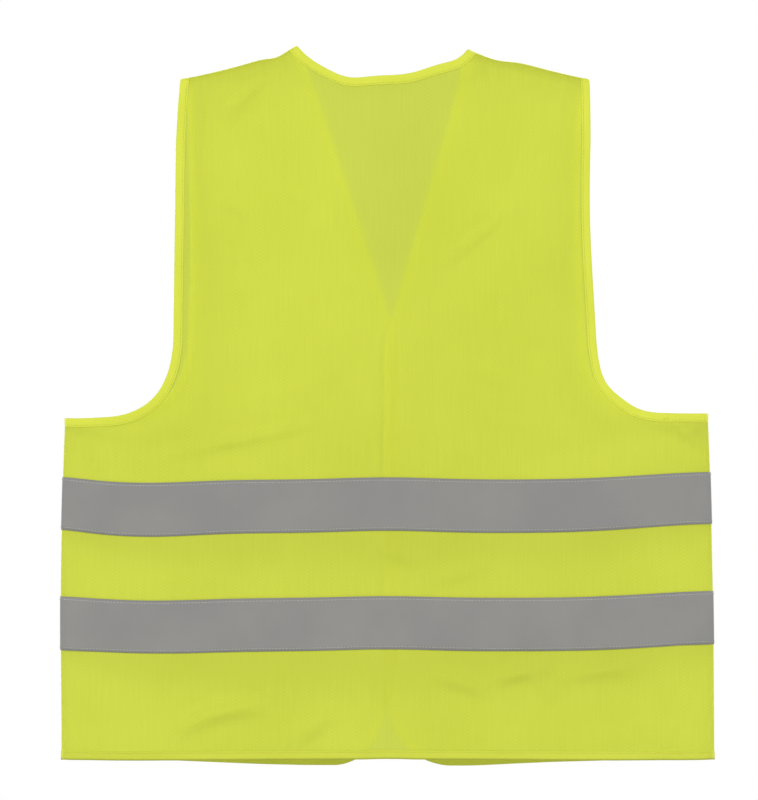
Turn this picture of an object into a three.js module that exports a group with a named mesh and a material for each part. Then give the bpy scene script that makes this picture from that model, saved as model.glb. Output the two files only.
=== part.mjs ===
// A high visibility vest: open front closed with a touch fastener, bound edges, and two reflective tapes
// that run right round the body. It hangs from its shoulders with the fronts closed and the body a little
// open, as on a hanger. Each front can be folded back along a line from the neck point down to the hem.
//
// Millimetres, +Z up. The wearer faces +Y and the wearer's left side is at -X. The origin is on the centre
// line, level with the neck points, midway between front and back.
//
// The body cloth follows one surface: at each height its section is a flattened ellipse, as deep as DEPTH_TOP
// at the shoulders and DEPTH_HEM at the hem. A piece is drawn as a flat outline in (x, z), laid on the back
// or the front of that surface, and given its thickness along the surface's normal.
import * as THREE from "three";

// Cut of the body cloth, measured flat
const NECK_HALF = 81; // centre line to neck point
const NECK_DROP = 28; // neck point level down to the back neck
const SHOULDER_HALF = 194; // centre line to shoulder tip
const SHOULDER_DROP = 31;
const SHOULDER_SAG = 2.5; // dip of the shoulder line between neck point and tip
const ARMHOLE_HALF = 200; // centre line to the armhole's straight edge at its foot
const ARMHOLE_STRAIGHT = 275; // level where the straight edge ends and the underarm curve starts
const ARMHOLE_DEPTH = 349; // level of the underarm
const UNDERARM_RUN = 62; // width of the underarm curve
const FRONT_ARMHOLE_INSET = 9; // the front is cut narrower than the back between the armholes
const CHEST_HALF = 303.5; // centre line to side fold at the underarm
const HEM_HALF = 309.5; // centre line to side fold at the hem
const LENGTH = 673; // neck point level to the back hem
const FRONT_HEM_DROP = 5; // the front hem hangs this much lower near the centre
const FRONT_HEM_TURN = 80; // where, from the centre line, the front hem is lowest

// Front closure
const CLOSURE_X = 5; // the closure line lies this far to the wearer's right of the centre line
const OVERLAP = 15; // the left front laps over the right by this much
const V_DEPTH = 285; // foot of the V neck
const V_EASE_X = 9.5; // the V edge leaves the neck point steeper than it runs on
const V_EASE_Z = 24;
const CORNER_RISE = 108; // front hem corner: height, width and inset of its curve
const CORNER_RUN = 60;
const CORNER_INSET = 6;
const FOLD_HEM_X = 150; // foot of the line along which a front folds back
const FOLD_GAP = 0.5; // between a front and the cloth it folds from

// Reflective tape
const TAPE_WIDTH = 50;
const TAPE_ABOVE_HEM = 103.5; // cloth below the lower tape
const TAPE_SPACING = 61; // cloth between the tapes
const LOWER_TAPE_Z = -LENGTH + TAPE_ABOVE_HEM + TAPE_WIDTH / 2; // centre line of each tape
const UPPER_TAPE_Z = LOWER_TAPE_Z + TAPE_WIDTH + TAPE_SPACING;

// Touch fastener and label
const STRIP_MARGIN = 1; // the strips stay this far inside the lap
const STRIP_WIDTH = OVERLAP - 2 * STRIP_MARGIN;
const STRIP_TOP = V_DEPTH + 8;
const STRIP_LENGTH = 104;
const LABEL_WIDTH = 38;
const LABEL_HEIGHT = 44;
const LABEL_X = -262; // centre of the label, on the wearer's left side

// Thicknesses and gaps
const CLOTH = 0.6;
const TAPE = 0.4;
const BINDING = 0.5;
const BINDING_WIDTH = 8;
const STRIP = 0.7;
const LABEL = 0.3;
const SEAM = 0.8; // taped shoulder seam
const GAP = 0.3;
const SEAM_LIFT = 0.5; // from the shoulder line to the seam, clear of the bindings' ends

// The left front lies this much out, and the right front in, at the closure: half of the fastener's stack
const LAP_SPARE = 0.1;
const LAP_SHIFT = CLOTH / 2 + GAP + BINDING + GAP + STRIP + GAP / 2 + LAP_SPARE;

// Depth of the hanging body, centre to cloth
const DEPTH_TOP = 6;
const DEPTH_HEM = 24;
const FLAT_HALF = 0.15; // share of the half width that stays flat at the middle of front and back

// Lines where the surface is faceted: shares of the half width, and levels
const COLUMNS = [FLAT_HALF, 0.32, 0.48, 0.62, 0.75, 0.86, 0.94, 0.985];
const tapeEdges = (z) => [z + TAPE_WIDTH / 2, z - TAPE_WIDTH / 2];
const ROWS = [-SHOULDER_DROP - 30, -150, -240, -ARMHOLE_DEPTH, -LENGTH + 45].concat(
  tapeEdges(UPPER_TAPE_Z),
  tapeEdges(LOWER_TAPE_Z),
);
const COLUMN_LINES = [...COLUMNS.map((share) => -share).reverse(), ...COLUMNS].map(
  (share) => share * HEM_HALF,
);
const FOLD_SNAP = 0.4; // a point this near the side fold lies on it
const MERGE = 0.05; // points nearer than this are one
const CURVE_STEPS = 9;

const FRONT = 1;
const BACK = -1;
const RIGHT = 1; // the wearer's right side, at +X
const LEFT = -1;

const v2 = (x, z) => new THREE.Vector2(x, z);
const clamp01 = (value) => THREE.MathUtils.clamp(value, 0, 1);

// ---- The surface that every piece lies on ----

// Half width of the body at a level: constant down to the underarm, then easing out to the hem.
function halfWidth(z) {
  const up = clamp01((z + LENGTH) / (LENGTH - ARMHOLE_DEPTH));
  return HEM_HALF - (HEM_HALF - CHEST_HALF) * up * up;
}

function depthAt(z) {
  return DEPTH_TOP + ((DEPTH_HEM - DEPTH_TOP) * -z) / LENGTH;
}

// Height of the section's ellipse at a share u of the half width, with its flat middle.
function ellipse(u) {
  return Math.sqrt(Math.max(0, 1 - Math.max(Math.abs(u), FLAT_HALF) ** 2));
}

function foldX(z) {
  return NECK_HALF + (FOLD_HEM_X - NECK_HALF) * (-z / LENGTH);
}

// How far a front is shifted out or in so that the two fronts can lap.
function lapShift(side, x, z) {
  const fold = foldX(z);
  const toward = clamp01((fold - side * x) / fold);
  return (side === LEFT ? LAP_SHIFT : -LAP_SHIFT) * toward;
}

// Outlines are cut into facets in straightened coordinates, where the side folds are upright lines at
// HEM_HALF and every column of facets is upright too.
const straighten = (p) => v2((p.x * HEM_HALF) / halfWidth(p.y), p.y);

// Point and outward normal of the surface at a straightened point. face is FRONT or BACK; flap is LEFT or
// RIGHT on a front flap.
function onSurface(p, face, flap) {
  const z = p.y;
  const w = halfWidth(z);
  const u = Math.abs(p.x) > HEM_HALF - FOLD_SNAP ? Math.sign(p.x) : p.x / HEM_HALF;
  const x = u * w;
  const e = ellipse(u);
  const depth = depthAt(z);
  const shift = flap ? lapShift(flap, x, z) : 0;
  const slope = Math.abs(u) > FLAT_HALF + 1e-6 ? (depth * u) / w : 0;
  const lean = ((DEPTH_HEM - DEPTH_TOP) / LENGTH) * e * e;
  return {
    point: new THREE.Vector3(x, face * (GAP / 2 + depth * e + shift), z),
    normal: new THREE.Vector3(slope, face * e, lean).normalize(),
  };
}

// ---- Outlines ----

const neckPoint = v2(NECK_HALF, 0);
const shoulderTip = v2(SHOULDER_HALF, -SHOULDER_DROP);

function sample(curve, steps = CURVE_STEPS) {
  return curve.getPoints(steps);
}

const mirror = (points) => points.map((p) => v2(-p.x, p.y)).reverse();
const onSide = (side, points) => (side === RIGHT ? points : points.map((p) => v2(-p.x, p.y)));

// The curves below are for the side at +X and run from the neck outwards and down.

function backNeck() {
  return sample(
    new THREE.CubicBezierCurve(
      neckPoint,
      v2(NECK_HALF * 0.82, -NECK_DROP * 0.78),
      v2(NECK_HALF * 0.5, -NECK_DROP),
      v2(0, -NECK_DROP),
    ),
  );
}

function shoulder() {
  const middle = v2((NECK_HALF + SHOULDER_HALF) / 2, -SHOULDER_DROP / 2 - 2 * SHOULDER_SAG);
  return sample(new THREE.QuadraticBezierCurve(neckPoint, middle, shoulderTip), 5);
}

function armhole(inset) {
  const foot = v2(ARMHOLE_HALF - inset, -ARMHOLE_STRAIGHT);
  const upper = v2(ARMHOLE_HALF - inset - 2, -SHOULDER_DROP - 60);
  const end = v2(ARMHOLE_HALF + UNDERARM_RUN, -ARMHOLE_DEPTH);
  const drop = ARMHOLE_DEPTH - ARMHOLE_STRAIGHT;
  const under = new THREE.CubicBezierCurve(
    foot,
    v2(foot.x + 2, foot.y - 0.64 * drop),
    v2(foot.x + 0.36 * UNDERARM_RUN, end.y),
    end,
  );
  return [shoulderTip, upper, ...sample(under), v2(CHEST_HALF, -ARMHOLE_DEPTH)];
}

function sideFold() {
  const levels = [...ROWS.filter((row) => row <= -ARMHOLE_DEPTH), -LENGTH].sort((a, b) => b - a);
  return levels.map((level) => v2(halfWidth(level), level));
}

const backHem = () => [v2(HEM_HALF, -LENGTH), v2(0, -LENGTH)];

const foldFoot = v2(
  FOLD_HEM_X,
  -LENGTH - FRONT_HEM_DROP * clamp01((HEM_HALF - FOLD_HEM_X) / (HEM_HALF - FRONT_HEM_TURN)),
);

// The front edge from the neck point round to the foot of the fold: V, closure edge, corner and hem.
function frontEdge(side) {
  const edge = side * CLOSURE_X - OVERLAP / 2;
  const hem = -LENGTH - FRONT_HEM_DROP;
  const vEdge = new THREE.QuadraticBezierCurve(
    neckPoint,
    v2(NECK_HALF - V_EASE_X, -V_EASE_Z),
    v2(edge, -V_DEPTH),
  );
  const corner = new THREE.QuadraticBezierCurve(
    v2(edge, hem + CORNER_RISE),
    v2(edge + CORNER_INSET, hem + CORNER_INSET),
    v2(edge + CORNER_RUN, hem),
  );
  return [...sample(vEdge), ...sample(corner), v2(FRONT_HEM_TURN, hem), foldFoot];
}

// The path with a point added wherever it crosses one of the lines; offset(p, line) is a point's distance
// past a line.
function cutAt(points, lines, offset) {
  const out = [points[0]];
  for (let i = 1; i < points.length; i++) {
    const a = points[i - 1];
    const b = points[i];
    const crossings = lines.map((line) => offset(a, line) / (offset(a, line) - offset(b, line)));
    for (const t of crossings.filter((t) => t > 0 && t < 1).sort((s, t) => s - t)) {
      const p = a.clone().lerp(b, t);
      if (p.distanceTo(out[out.length - 1]) > MERGE && p.distanceTo(b) > MERGE) out.push(p);
    }
    out.push(b);
  }
  return out;
}

// A path in straightened coordinates, with every place where it crosses a facet line made a point of it, so
// that the pieces that share an edge share its facets too.
function refine(points) {
  const inRows = cutAt(points, ROWS, (p, row) => p.y - row);
  return cutAt(inRows.map(straighten), COLUMN_LINES, (p, column) => p.x - column);
}

// ---- Solids ----

// The part of a polygon on one side of a line: keep is positive inside.
function clip(polygon, keep) {
  const out = [];
  polygon.forEach((a, i) => {
    const b = polygon[(i + 1) % polygon.length];
    const ka = keep(a);
    const kb = keep(b);
    if (ka >= 0) out.push(a);
    if (ka * kb < 0) out.push(a.clone().lerp(b, ka / (ka - kb)));
  });
  return out;
}

// A refined outline cut into the facets of the surface, as triangles of straightened points. Each facet
// starts at its lowest corner, so that pieces laid on each other split it the same way.
function facets(outline) {
  const columns = [-2 * HEM_HALF, ...COLUMN_LINES, 2 * HEM_HALF];
  const rows = [-2 * LENGTH, ...[...ROWS].sort((a, b) => a - b), LENGTH];
  const triangles = [];
  for (let i = 1; i < columns.length; i++) {
    const strip = clip(clip(outline, (p) => p.x - columns[i - 1]), (p) => columns[i] - p.x);
    for (let j = 1; j < rows.length; j++) {
      const cell = clip(clip(strip, (p) => p.y - rows[j - 1]), (p) => rows[j] - p.y);
      if (cell.length < 3) continue;
      const first = cell.reduce((low, p, k) => (p.y + p.x < cell[low].y + cell[low].x ? k : low), 0);
      const ring = [...cell.slice(first), ...cell.slice(0, first)];
      for (const t of THREE.ShapeUtils.triangulateShape(ring, [])) triangles.push(t.map((k) => ring[k]));
    }
  }
  return triangles;
}

// A solid from triangles of flat points: place(point, level) gives the inner and outer skins' positions,
// and every edge that only one triangle has gets a wall.
function thicken(triangles, place) {
  const key = (p) => Math.round(p.x * 50) + "," + Math.round(p.y * 50);
  const points = new Map();
  const count = new Map();
  const faces = [];
  for (const triangle of triangles) {
    const keys = triangle.map(key);
    if (new Set(keys).size < 3) continue;
    triangle.forEach((p, k) => points.has(keys[k]) || points.set(keys[k], p));
    if (THREE.ShapeUtils.area(keys.map((k) => points.get(k))) < 0) keys.reverse();
    faces.push(keys);
  }
  for (const keys of faces) {
    keys.forEach((k, i) => {
      const edge = k + ">" + keys[(i + 1) % 3];
      count.set(edge, (count.get(edge) || 0) + 1);
    });
  }
  const corner = (k, level) => place(points.get(k), level);
  const positions = [];
  const add = (...corners) => corners.forEach((c) => positions.push(c.x, c.y, c.z));
  for (const [a, b, c] of faces) {
    add(corner(a, 1), corner(c, 1), corner(b, 1));
    add(corner(a, 0), corner(b, 0), corner(c, 0));
    for (const [from, to] of [[a, b], [b, c], [c, a]]) {
      if (count.has(to + ">" + from)) continue;
      add(corner(from, 0), corner(from, 1), corner(to, 1));
      add(corner(from, 0), corner(to, 1), corner(to, 0));
    }
  }
  return positions;
}

function geometryOf(positions) {
  const geometry = new THREE.BufferGeometry();
  geometry.setAttribute("position", new THREE.Float32BufferAttribute(positions, 3));
  geometry.computeVertexNormals();
  return geometry;
}

function turnedOver(positions) {
  const out = [];
  for (let i = 0; i < positions.length; i += 9) {
    const [a, b, c] = [0, 3, 6].map((k) => positions.slice(i + k, i + k + 3));
    out.push(...a, ...c, ...b);
  }
  return out;
}

// A flat piece laid on the surface, from inner to outer millimetres along the normal.
function laid(outline, face, flap, inner, outer) {
  const place = (p, level) => {
    const { point, normal } = onSurface(p, face, flap);
    return point.addScaledVector(normal, level ? outer : inner);
  };
  const positions = thicken(facets(refine([...outline, outline[0]]).slice(0, -1)), place);
  return geometryOf(face === FRONT ? positions : turnedOver(positions));
}

// A binding folded over an edge: a U section carried along the edge's path. away is +1 or -1 and picks the
// side of the path that has no cloth; widthAt gives the width that lies on the cloth.
function bound(path, face, flap, away, widthAt = () => BINDING_WIDTH) {
  const points = refine(path);
  const slot = CLOTH / 2 + GAP;
  const skin = slot + BINDING;
  const rings = points.map((p, i) => {
    const along = points[Math.min(i + 1, points.length - 1)].clone().sub(points[Math.max(i - 1, 0)]);
    const off = v2(along.y, -along.x).normalize().multiplyScalar(away * face);
    const edge = onSurface(p, face, flap);
    const inner = onSurface(p.clone().addScaledVector(off, -widthAt(p)), face, flap);
    const out = edge.point.clone().sub(inner.point).normalize();
    const rim = (reach, level) =>
      edge.point.clone().addScaledVector(out, reach).addScaledVector(edge.normal, level);
    const side = (level) => inner.point.clone().addScaledVector(inner.normal, level);
    return [
      side(skin),
      rim(GAP + BINDING, skin),
      rim(GAP + BINDING, -skin),
      side(-skin),
      side(-slot),
      rim(GAP, -slot),
      rim(GAP, slot),
      side(slot),
    ];
  });
  const positions = [];
  const add = (...corners) => corners.forEach((c) => positions.push(c.x, c.y, c.z));
  const last = rings.length - 1;
  const count = rings[0].length;
  for (let i = 0; i < last; i++) {
    for (let k = 0; k < count; k++) {
      const m = (k + 1) % count;
      add(rings[i][k], rings[i][m], rings[i + 1][m]);
      add(rings[i][k], rings[i + 1][m], rings[i + 1][k]);
    }
  }
  for (const [ring, swap] of [[rings[0], true], [rings[last], false]]) {
    for (const [a, b, c] of [[0, 1, 6], [0, 6, 7], [1, 2, 5], [1, 5, 6], [2, 3, 4], [2, 4, 5]]) {
      if (swap) add(ring[a], ring[c], ring[b]);
      else add(ring[a], ring[b], ring[c]);
    }
  }
  return geometryOf(away < 0 ? positions : turnedOver(positions));
}

// ---- Materials ----

function finish(color, roughness) {
  return new THREE.MeshStandardMaterial({ color, roughness, metalness: 0 });
}
const knit = () => finish(0xcfd947, 0.9);
const bindingCloth = () => finish(0xd6df4e, 0.85);
const reflective = () => finish(0x929390, 0.45);
const fastener = () => finish(0xd2d94a, 0.95);
const labelCloth = () => finish(0xf2f2ee, 0.7);

// ---- Pieces ----

const vest = new THREE.Group();

function piece(name, geometry, material) {
  const mesh = new THREE.Mesh(geometry, material);
  mesh.name = name;
  vest.add(mesh);
}

const nameOf = (side) => (side === LEFT ? "left" : "right");
const CLOTH_IN = -CLOTH / 2;
const CLOTH_OUT = CLOTH / 2;

function backPanel() {
  const half = [...backNeck().reverse(), ...shoulder().slice(1), ...armhole(0).slice(1)];
  const rightHalf = [...half, ...sideFold().slice(1), v2(0, -LENGTH)];
  const outline = [...rightHalf, ...mirror(rightHalf).slice(1, -1)];
  piece("back_panel", laid(outline, BACK, 0, CLOTH_IN, CLOTH_OUT), knit());
}

// The front cloth outside the fold line, from the shoulder to the hem, with the side fold.
function sidePanel(side) {
  const top = [...shoulder(), ...armhole(FRONT_ARMHOLE_INSET).slice(1), ...sideFold().slice(1)];
  const outline = [...top, foldFoot].map((p) => p.clone());
  outline[0].x += FOLD_GAP / 2;
  outline[outline.length - 1].x += FOLD_GAP / 2;
  piece(
    nameOf(side) + "_front_side_panel",
    laid(onSide(side, outline), FRONT, 0, CLOTH_IN, CLOTH_OUT),
    knit(),
  );
}

// The front cloth inside the fold line, which swings open.
function frontFlap(side) {
  const outline = frontEdge(side).map((p) => p.clone());
  outline[0].x -= FOLD_GAP / 2;
  outline[outline.length - 1].x -= FOLD_GAP / 2;
  piece(
    nameOf(side) + "_front_flap",
    laid(onSide(side, outline), FRONT, side, CLOTH_IN, CLOTH_OUT),
    knit(),
  );
}

function frontEdgeBinding(side) {
  const path = frontEdge(side).slice(1);
  path[path.length - 1].x -= FOLD_GAP;
  const width = (p) => Math.min(BINDING_WIDTH, foldX(p.y) - side * p.x - FOLD_GAP);
  piece(
    nameOf(side) + "_front_edge_binding",
    bound(onSide(side, path), FRONT, side, side, (p) => Math.max(width(p), BINDING_WIDTH / 2)),
    bindingCloth(),
  );
}

function neckBinding() {
  const half = backNeck().slice(1);
  piece("back_neck_binding", bound([...half, ...mirror(half).slice(1)], BACK, 0, LEFT), bindingCloth());
}

function armholeBinding(side, face) {
  const inset = face === FRONT ? FRONT_ARMHOLE_INSET : 0;
  piece(
    nameOf(side) + "_armhole_binding_" + (face === FRONT ? "front" : "back"),
    bound(onSide(side, armhole(inset)), face, 0, -side * face),
    bindingCloth(),
  );
}

function hemBindings() {
  const half = backHem();
  piece("back_hem_binding", bound([...half, ...mirror(half).slice(1)], BACK, 0, RIGHT), bindingCloth());
  for (const side of [LEFT, RIGHT]) {
    const path = [v2(HEM_HALF, -LENGTH), foldFoot.clone()];
    path[1].x += FOLD_GAP;
    piece(
      nameOf(side) + "_front_hem_binding",
      bound(onSide(side, path), FRONT, 0, -side),
      bindingCloth(),
    );
  }
}

// A seam tape that joins front and back along one shoulder and carries the vest.
function shoulderSeam(side) {
  const line = shoulder();
  line[0] = line[0].clone().lerp(line[1], 0.1);
  const reach = (p) => GAP / 2 + depthAt(p.y) * ellipse(p.x / halfWidth(p.y)) + CLOTH / 2;
  const ring = (p) => {
    const y = reach(p);
    const low = p.y + SEAM_LIFT;
    return [
      [-y, low],
      [y, low],
      [y, low + SEAM],
      [-y, low + SEAM],
    ].map(([a, b]) => new THREE.Vector3(side * p.x, a, b));
  };
  const positions = [];
  const add = (...corners) => corners.forEach((c) => positions.push(c.x, c.y, c.z));
  const rings = line.map(ring);
  for (let i = 1; i < rings.length; i++) {
    for (let k = 0; k < 4; k++) {
      const m = (k + 1) % 4;
      add(rings[i - 1][k], rings[i - 1][m], rings[i][m]);
      add(rings[i - 1][k], rings[i][m], rings[i][k]);
    }
  }
  const [first, last] = [rings[0], rings[rings.length - 1]];
  add(first[0], first[2], first[1]);
  add(first[0], first[3], first[2]);
  add(last[0], last[1], last[2]);
  add(last[0], last[2], last[3]);
  piece(
    nameOf(side) + "_shoulder_seam",
    geometryOf(side === LEFT ? turnedOver(positions) : positions),
    bindingCloth(),
  );
}

// One tape, in the lengths that lie on the back, on each side and on each front.
function tapes(level, name) {
  const inner = CLOTH_OUT + GAP;
  const outer = inner + TAPE;
  const [top, foot] = tapeEdges(level);
  const band = (x0, x1) => [v2(x0(top), top), v2(x1(top), top), v2(x1(foot), foot), v2(x0(foot), foot)];
  const back = band((z) => halfWidth(z), (z) => -halfWidth(z));
  piece(name + "_tape_back", laid(back, BACK, 0, inner, outer), reflective());
  for (const side of [LEFT, RIGHT]) {
    const outside = band((z) => halfWidth(z), (z) => foldX(z) + FOLD_GAP / 2);
    const edge = side * CLOSURE_X - OVERLAP / 2 + BINDING_WIDTH + GAP;
    const inside = band((z) => foldX(z) - FOLD_GAP / 2, () => edge);
    const prefix = name + "_tape_" + nameOf(side);
    piece(prefix + "_side", laid(onSide(side, outside), FRONT, 0, inner, outer), reflective());
    piece(prefix + "_front", laid(onSide(side, inside), FRONT, side, inner, outer), reflective());
  }
}

// The touch fastener: hooks inside the left front, loops outside the right front.
function fastenerStrips() {
  const near = CLOTH / 2 + GAP + BINDING + GAP;
  const half = STRIP_WIDTH / 2;
  const outline = [
    v2(CLOSURE_X - half, -STRIP_TOP),
    v2(CLOSURE_X + half, -STRIP_TOP),
    v2(CLOSURE_X + half, -STRIP_TOP - STRIP_LENGTH),
    v2(CLOSURE_X - half, -STRIP_TOP - STRIP_LENGTH),
  ];
  piece("hook_strip", laid(outline, FRONT, LEFT, -near - STRIP, -near), fastener());
  piece("loop_strip", laid(outline, FRONT, RIGHT, near, near + STRIP), fastener());
}

// A blank care label sewn inside the wearer's left side.
function careLabel() {
  const outline = [
    v2(LABEL_X - LABEL_WIDTH / 2, UPPER_TAPE_Z + LABEL_HEIGHT / 2),
    v2(LABEL_X + LABEL_WIDTH / 2, UPPER_TAPE_Z + LABEL_HEIGHT / 2),
    v2(LABEL_X + LABEL_WIDTH / 2, UPPER_TAPE_Z - LABEL_HEIGHT / 2),
    v2(LABEL_X - LABEL_WIDTH / 2, UPPER_TAPE_Z - LABEL_HEIGHT / 2),
  ];
  const outer = CLOTH_IN - GAP;
  piece("care_label", laid(outline, FRONT, 0, outer - LABEL, outer), labelCloth());
}

backPanel();
neckBinding();
hemBindings();
tapes(UPPER_TAPE_Z, "upper");
tapes(LOWER_TAPE_Z, "lower");
fastenerStrips();
careLabel();
for (const side of [LEFT, RIGHT]) {
  sidePanel(side);
  frontFlap(side);
  frontEdgeBinding(side);
  shoulderSeam(side);
  armholeBinding(side, FRONT);
  armholeBinding(side, BACK);
}

export default vest;
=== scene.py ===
# %% [markdown]
# # A high visibility vest
# A sleeveless vest of fluorescent knit with bound edges, two reflective tapes round the body and a touch
# fastener down the front. It hangs from its shoulders with the fronts closed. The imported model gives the
# sizes, the bodies that move and the plain solids that each piece here stands for.

import math

import bpy
import numpy as np
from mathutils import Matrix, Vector, geometry, kdtree


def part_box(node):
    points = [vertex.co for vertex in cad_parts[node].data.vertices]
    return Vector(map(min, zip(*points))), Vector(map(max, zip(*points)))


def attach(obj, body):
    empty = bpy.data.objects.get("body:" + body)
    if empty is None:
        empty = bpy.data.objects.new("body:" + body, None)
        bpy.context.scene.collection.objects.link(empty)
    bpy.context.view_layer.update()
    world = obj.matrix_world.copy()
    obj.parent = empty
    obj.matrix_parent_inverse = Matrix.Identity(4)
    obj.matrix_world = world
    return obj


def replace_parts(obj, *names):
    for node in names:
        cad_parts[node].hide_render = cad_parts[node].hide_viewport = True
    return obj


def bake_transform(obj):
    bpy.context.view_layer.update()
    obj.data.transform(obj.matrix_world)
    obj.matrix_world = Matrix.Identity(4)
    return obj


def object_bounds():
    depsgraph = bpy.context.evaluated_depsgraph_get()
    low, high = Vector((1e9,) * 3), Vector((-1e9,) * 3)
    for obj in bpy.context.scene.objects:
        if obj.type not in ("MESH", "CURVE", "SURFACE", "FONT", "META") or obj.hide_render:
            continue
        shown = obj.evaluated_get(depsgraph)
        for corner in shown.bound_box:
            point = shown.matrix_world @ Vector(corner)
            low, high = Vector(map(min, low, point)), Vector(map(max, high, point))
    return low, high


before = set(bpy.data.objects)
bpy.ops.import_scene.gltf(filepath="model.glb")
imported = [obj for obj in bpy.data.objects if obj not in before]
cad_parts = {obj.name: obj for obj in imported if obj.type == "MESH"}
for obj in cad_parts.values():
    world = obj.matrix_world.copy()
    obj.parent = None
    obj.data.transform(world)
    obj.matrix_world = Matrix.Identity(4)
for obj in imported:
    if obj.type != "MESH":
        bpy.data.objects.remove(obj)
cad_low, cad_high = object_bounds()
print("CAD box", [round(high - low, 4) for low, high in zip(cad_low, cad_high)])

# %% [markdown]
# ## The cut of the vest
# A vest like this is cut flat, from one back and two fronts, and sewn at the shoulders and sides. So every
# piece here is drawn flat first, with x across and z up, in metres, and laid on the body afterwards.
# The overall sizes are read from the frame, and the curves of the cut repeat those of the part's design.

# %% Sizes of the cut
MM = 0.001
LEFT, RIGHT = -1, 1  # the wearer's left is at -X
FRONT, BACK = 1, -1  # the wearer faces +Y

back_low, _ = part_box("back_panel")
upper_low, upper_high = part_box("upper_tape_back")
lower_low, lower_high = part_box("lower_tape_back")
strip_low, strip_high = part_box("loop_strip")

LENGTH = -back_low.z
HEM_HALF = 309.5 * MM
CHEST_HALF = 303.5 * MM
NECK_HALF = 81 * MM
NECK_DROP = 28 * MM
SHOULDER_HALF = 194 * MM
SHOULDER_DROP = 31 * MM
SHOULDER_SAG = 2.5 * MM
ARMHOLE_HALF = 200 * MM
ARMHOLE_STRAIGHT = 275 * MM
ARMHOLE_DEPTH = 349 * MM
UNDERARM_RUN = 62 * MM
FRONT_ARMHOLE_INSET = 9 * MM
FRONT_HEM_DROP = 5 * MM
FRONT_HEM_TURN = 80 * MM
CLOSURE_X = (strip_low.x + strip_high.x) / 2
OVERLAP = 15 * MM
V_DEPTH = 285 * MM
V_EASE_X = 9.5 * MM
V_EASE_Z = 24 * MM
CORNER_RISE = 108 * MM
CORNER_RUN = 60 * MM
CORNER_INSET = 6 * MM
FOLD_HEM_X = 150 * MM
DEPTH_TOP = 6 * MM
DEPTH_HEM = 24 * MM
FLAT_HALF = 0.15  # share of the half width over which the section is flat
LAP_SHIFT = 1.88 * MM  # how far each front is moved off the middle where they lap
SEAM_GAP = 0.12 * MM  # half the gap between back and front along a shoulder seam

CLOTH = 0.45 * MM
BINDING_WIDTH = 8 * MM
TAPE_THICK = 0.35 * MM
TAPE_LEVEL = 0.5 * MM  # cloth's middle to the tape's underside
SHOULDER_ROUND = 9 * MM  # how far below the shoulder seam the cloth starts to turn over it
print("length", round(LENGTH, 4), "closure at", round(CLOSURE_X, 4))

# %% [markdown]
# ## Curves and outlines
# Each edge of the cut is a Bezier curve or a straight run. The points are then spaced evenly, because cloth
# edges bend smoothly and the binding that is swept along them wants rings at an even step.

# %% Curves
EDGE_STEP = 4 * MM


def bezier(*control, count=60):
    """Points on a Bezier curve with any number of control points."""
    t = np.linspace(0, 1, count)[:, None]
    layers = [np.tile(np.array(p, float), (count, 1)) for p in control]
    while len(layers) > 1:
        layers = [a * (1 - t) + b * t for a, b in zip(layers, layers[1:])]
    return layers[0]


def run_along(path):
    """Distance along a path at each of its points."""
    return np.r_[0, np.cumsum(np.linalg.norm(np.diff(path, axis=0), axis=1))]


def spaced(path, step=EDGE_STEP):
    """The same path with its points an even step apart."""
    path = np.array(path, float)
    run = run_along(path)
    at = np.linspace(0, run[-1], max(1, round(run[-1] / step)) + 1)
    return np.column_stack([np.interp(at, run, path[:, k]) for k in range(path.shape[1])])


def joined(*paths):
    """Paths end to end, without the doubled points where they meet."""
    return np.vstack([paths[0]] + [p[1:] for p in paths[1:]])


def on_side(side, path):
    return path * np.array([side, 1.0])


def mirrored(path):
    """The path from the far side at +X over to -X, given its half from x = 0 to +X."""
    return np.vstack([path[::-1], on_side(LEFT, path)[1:]])


# %% Half width of the body, and the shoulder line
def half_width(z):
    up = np.clip((z + LENGTH) / (LENGTH - ARMHOLE_DEPTH), 0, 1)
    return HEM_HALF - (HEM_HALF - CHEST_HALF) * up**2


def shoulder_line(x):
    """Height of the shoulder seam above a point, carried on past its two ends."""
    run = SHOULDER_HALF - NECK_HALF
    bow = SHOULDER_DROP + 4 * SHOULDER_SAG
    t = (np.abs(x) - NECK_HALF) / run
    inside = -t * (1 - t) * bow - t**2 * SHOULDER_DROP
    before = -t * bow
    after = -SHOULDER_DROP - (t - 1) * (2 * SHOULDER_DROP - bow)
    return np.where(t < 0, before, np.where(t > 1, after, inside))


# %% Edges of the cut, for the side at +X, from the neck outwards and down
def shoulder_edge():
    x = np.linspace(NECK_HALF, SHOULDER_HALF, 30)
    return spaced(np.column_stack([x, shoulder_line(x)]))


def neck_edge():
    curve = bezier(
        (NECK_HALF, 0),
        (NECK_HALF * 0.82, -NECK_DROP * 0.78),
        (NECK_HALF * 0.5, -NECK_DROP),
        (0, -NECK_DROP),
    )
    return spaced(curve)


def armhole_edge(inset):
    foot = np.array([ARMHOLE_HALF - inset, -ARMHOLE_STRAIGHT])
    upper = (ARMHOLE_HALF - inset - 2 * MM, -SHOULDER_DROP - 60 * MM)
    end = (ARMHOLE_HALF + UNDERARM_RUN, -ARMHOLE_DEPTH)
    drop = ARMHOLE_DEPTH - ARMHOLE_STRAIGHT
    under = bezier(
        foot,
        foot + (2 * MM, -0.64 * drop),
        (foot[0] + 0.36 * UNDERARM_RUN, end[1]),
        end,
    )
    bow = (ARMHOLE_HALF - inset - 4 * MM, -SHOULDER_DROP - 20 * MM)
    top = bezier((SHOULDER_HALF, -SHOULDER_DROP), bow, upper)
    return spaced(joined(top, under, np.array([end, (CHEST_HALF, -ARMHOLE_DEPTH)])))


def side_edge():
    z = np.linspace(-ARMHOLE_DEPTH, -LENGTH, 30)
    return spaced(np.column_stack([half_width(z), z]))


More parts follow.
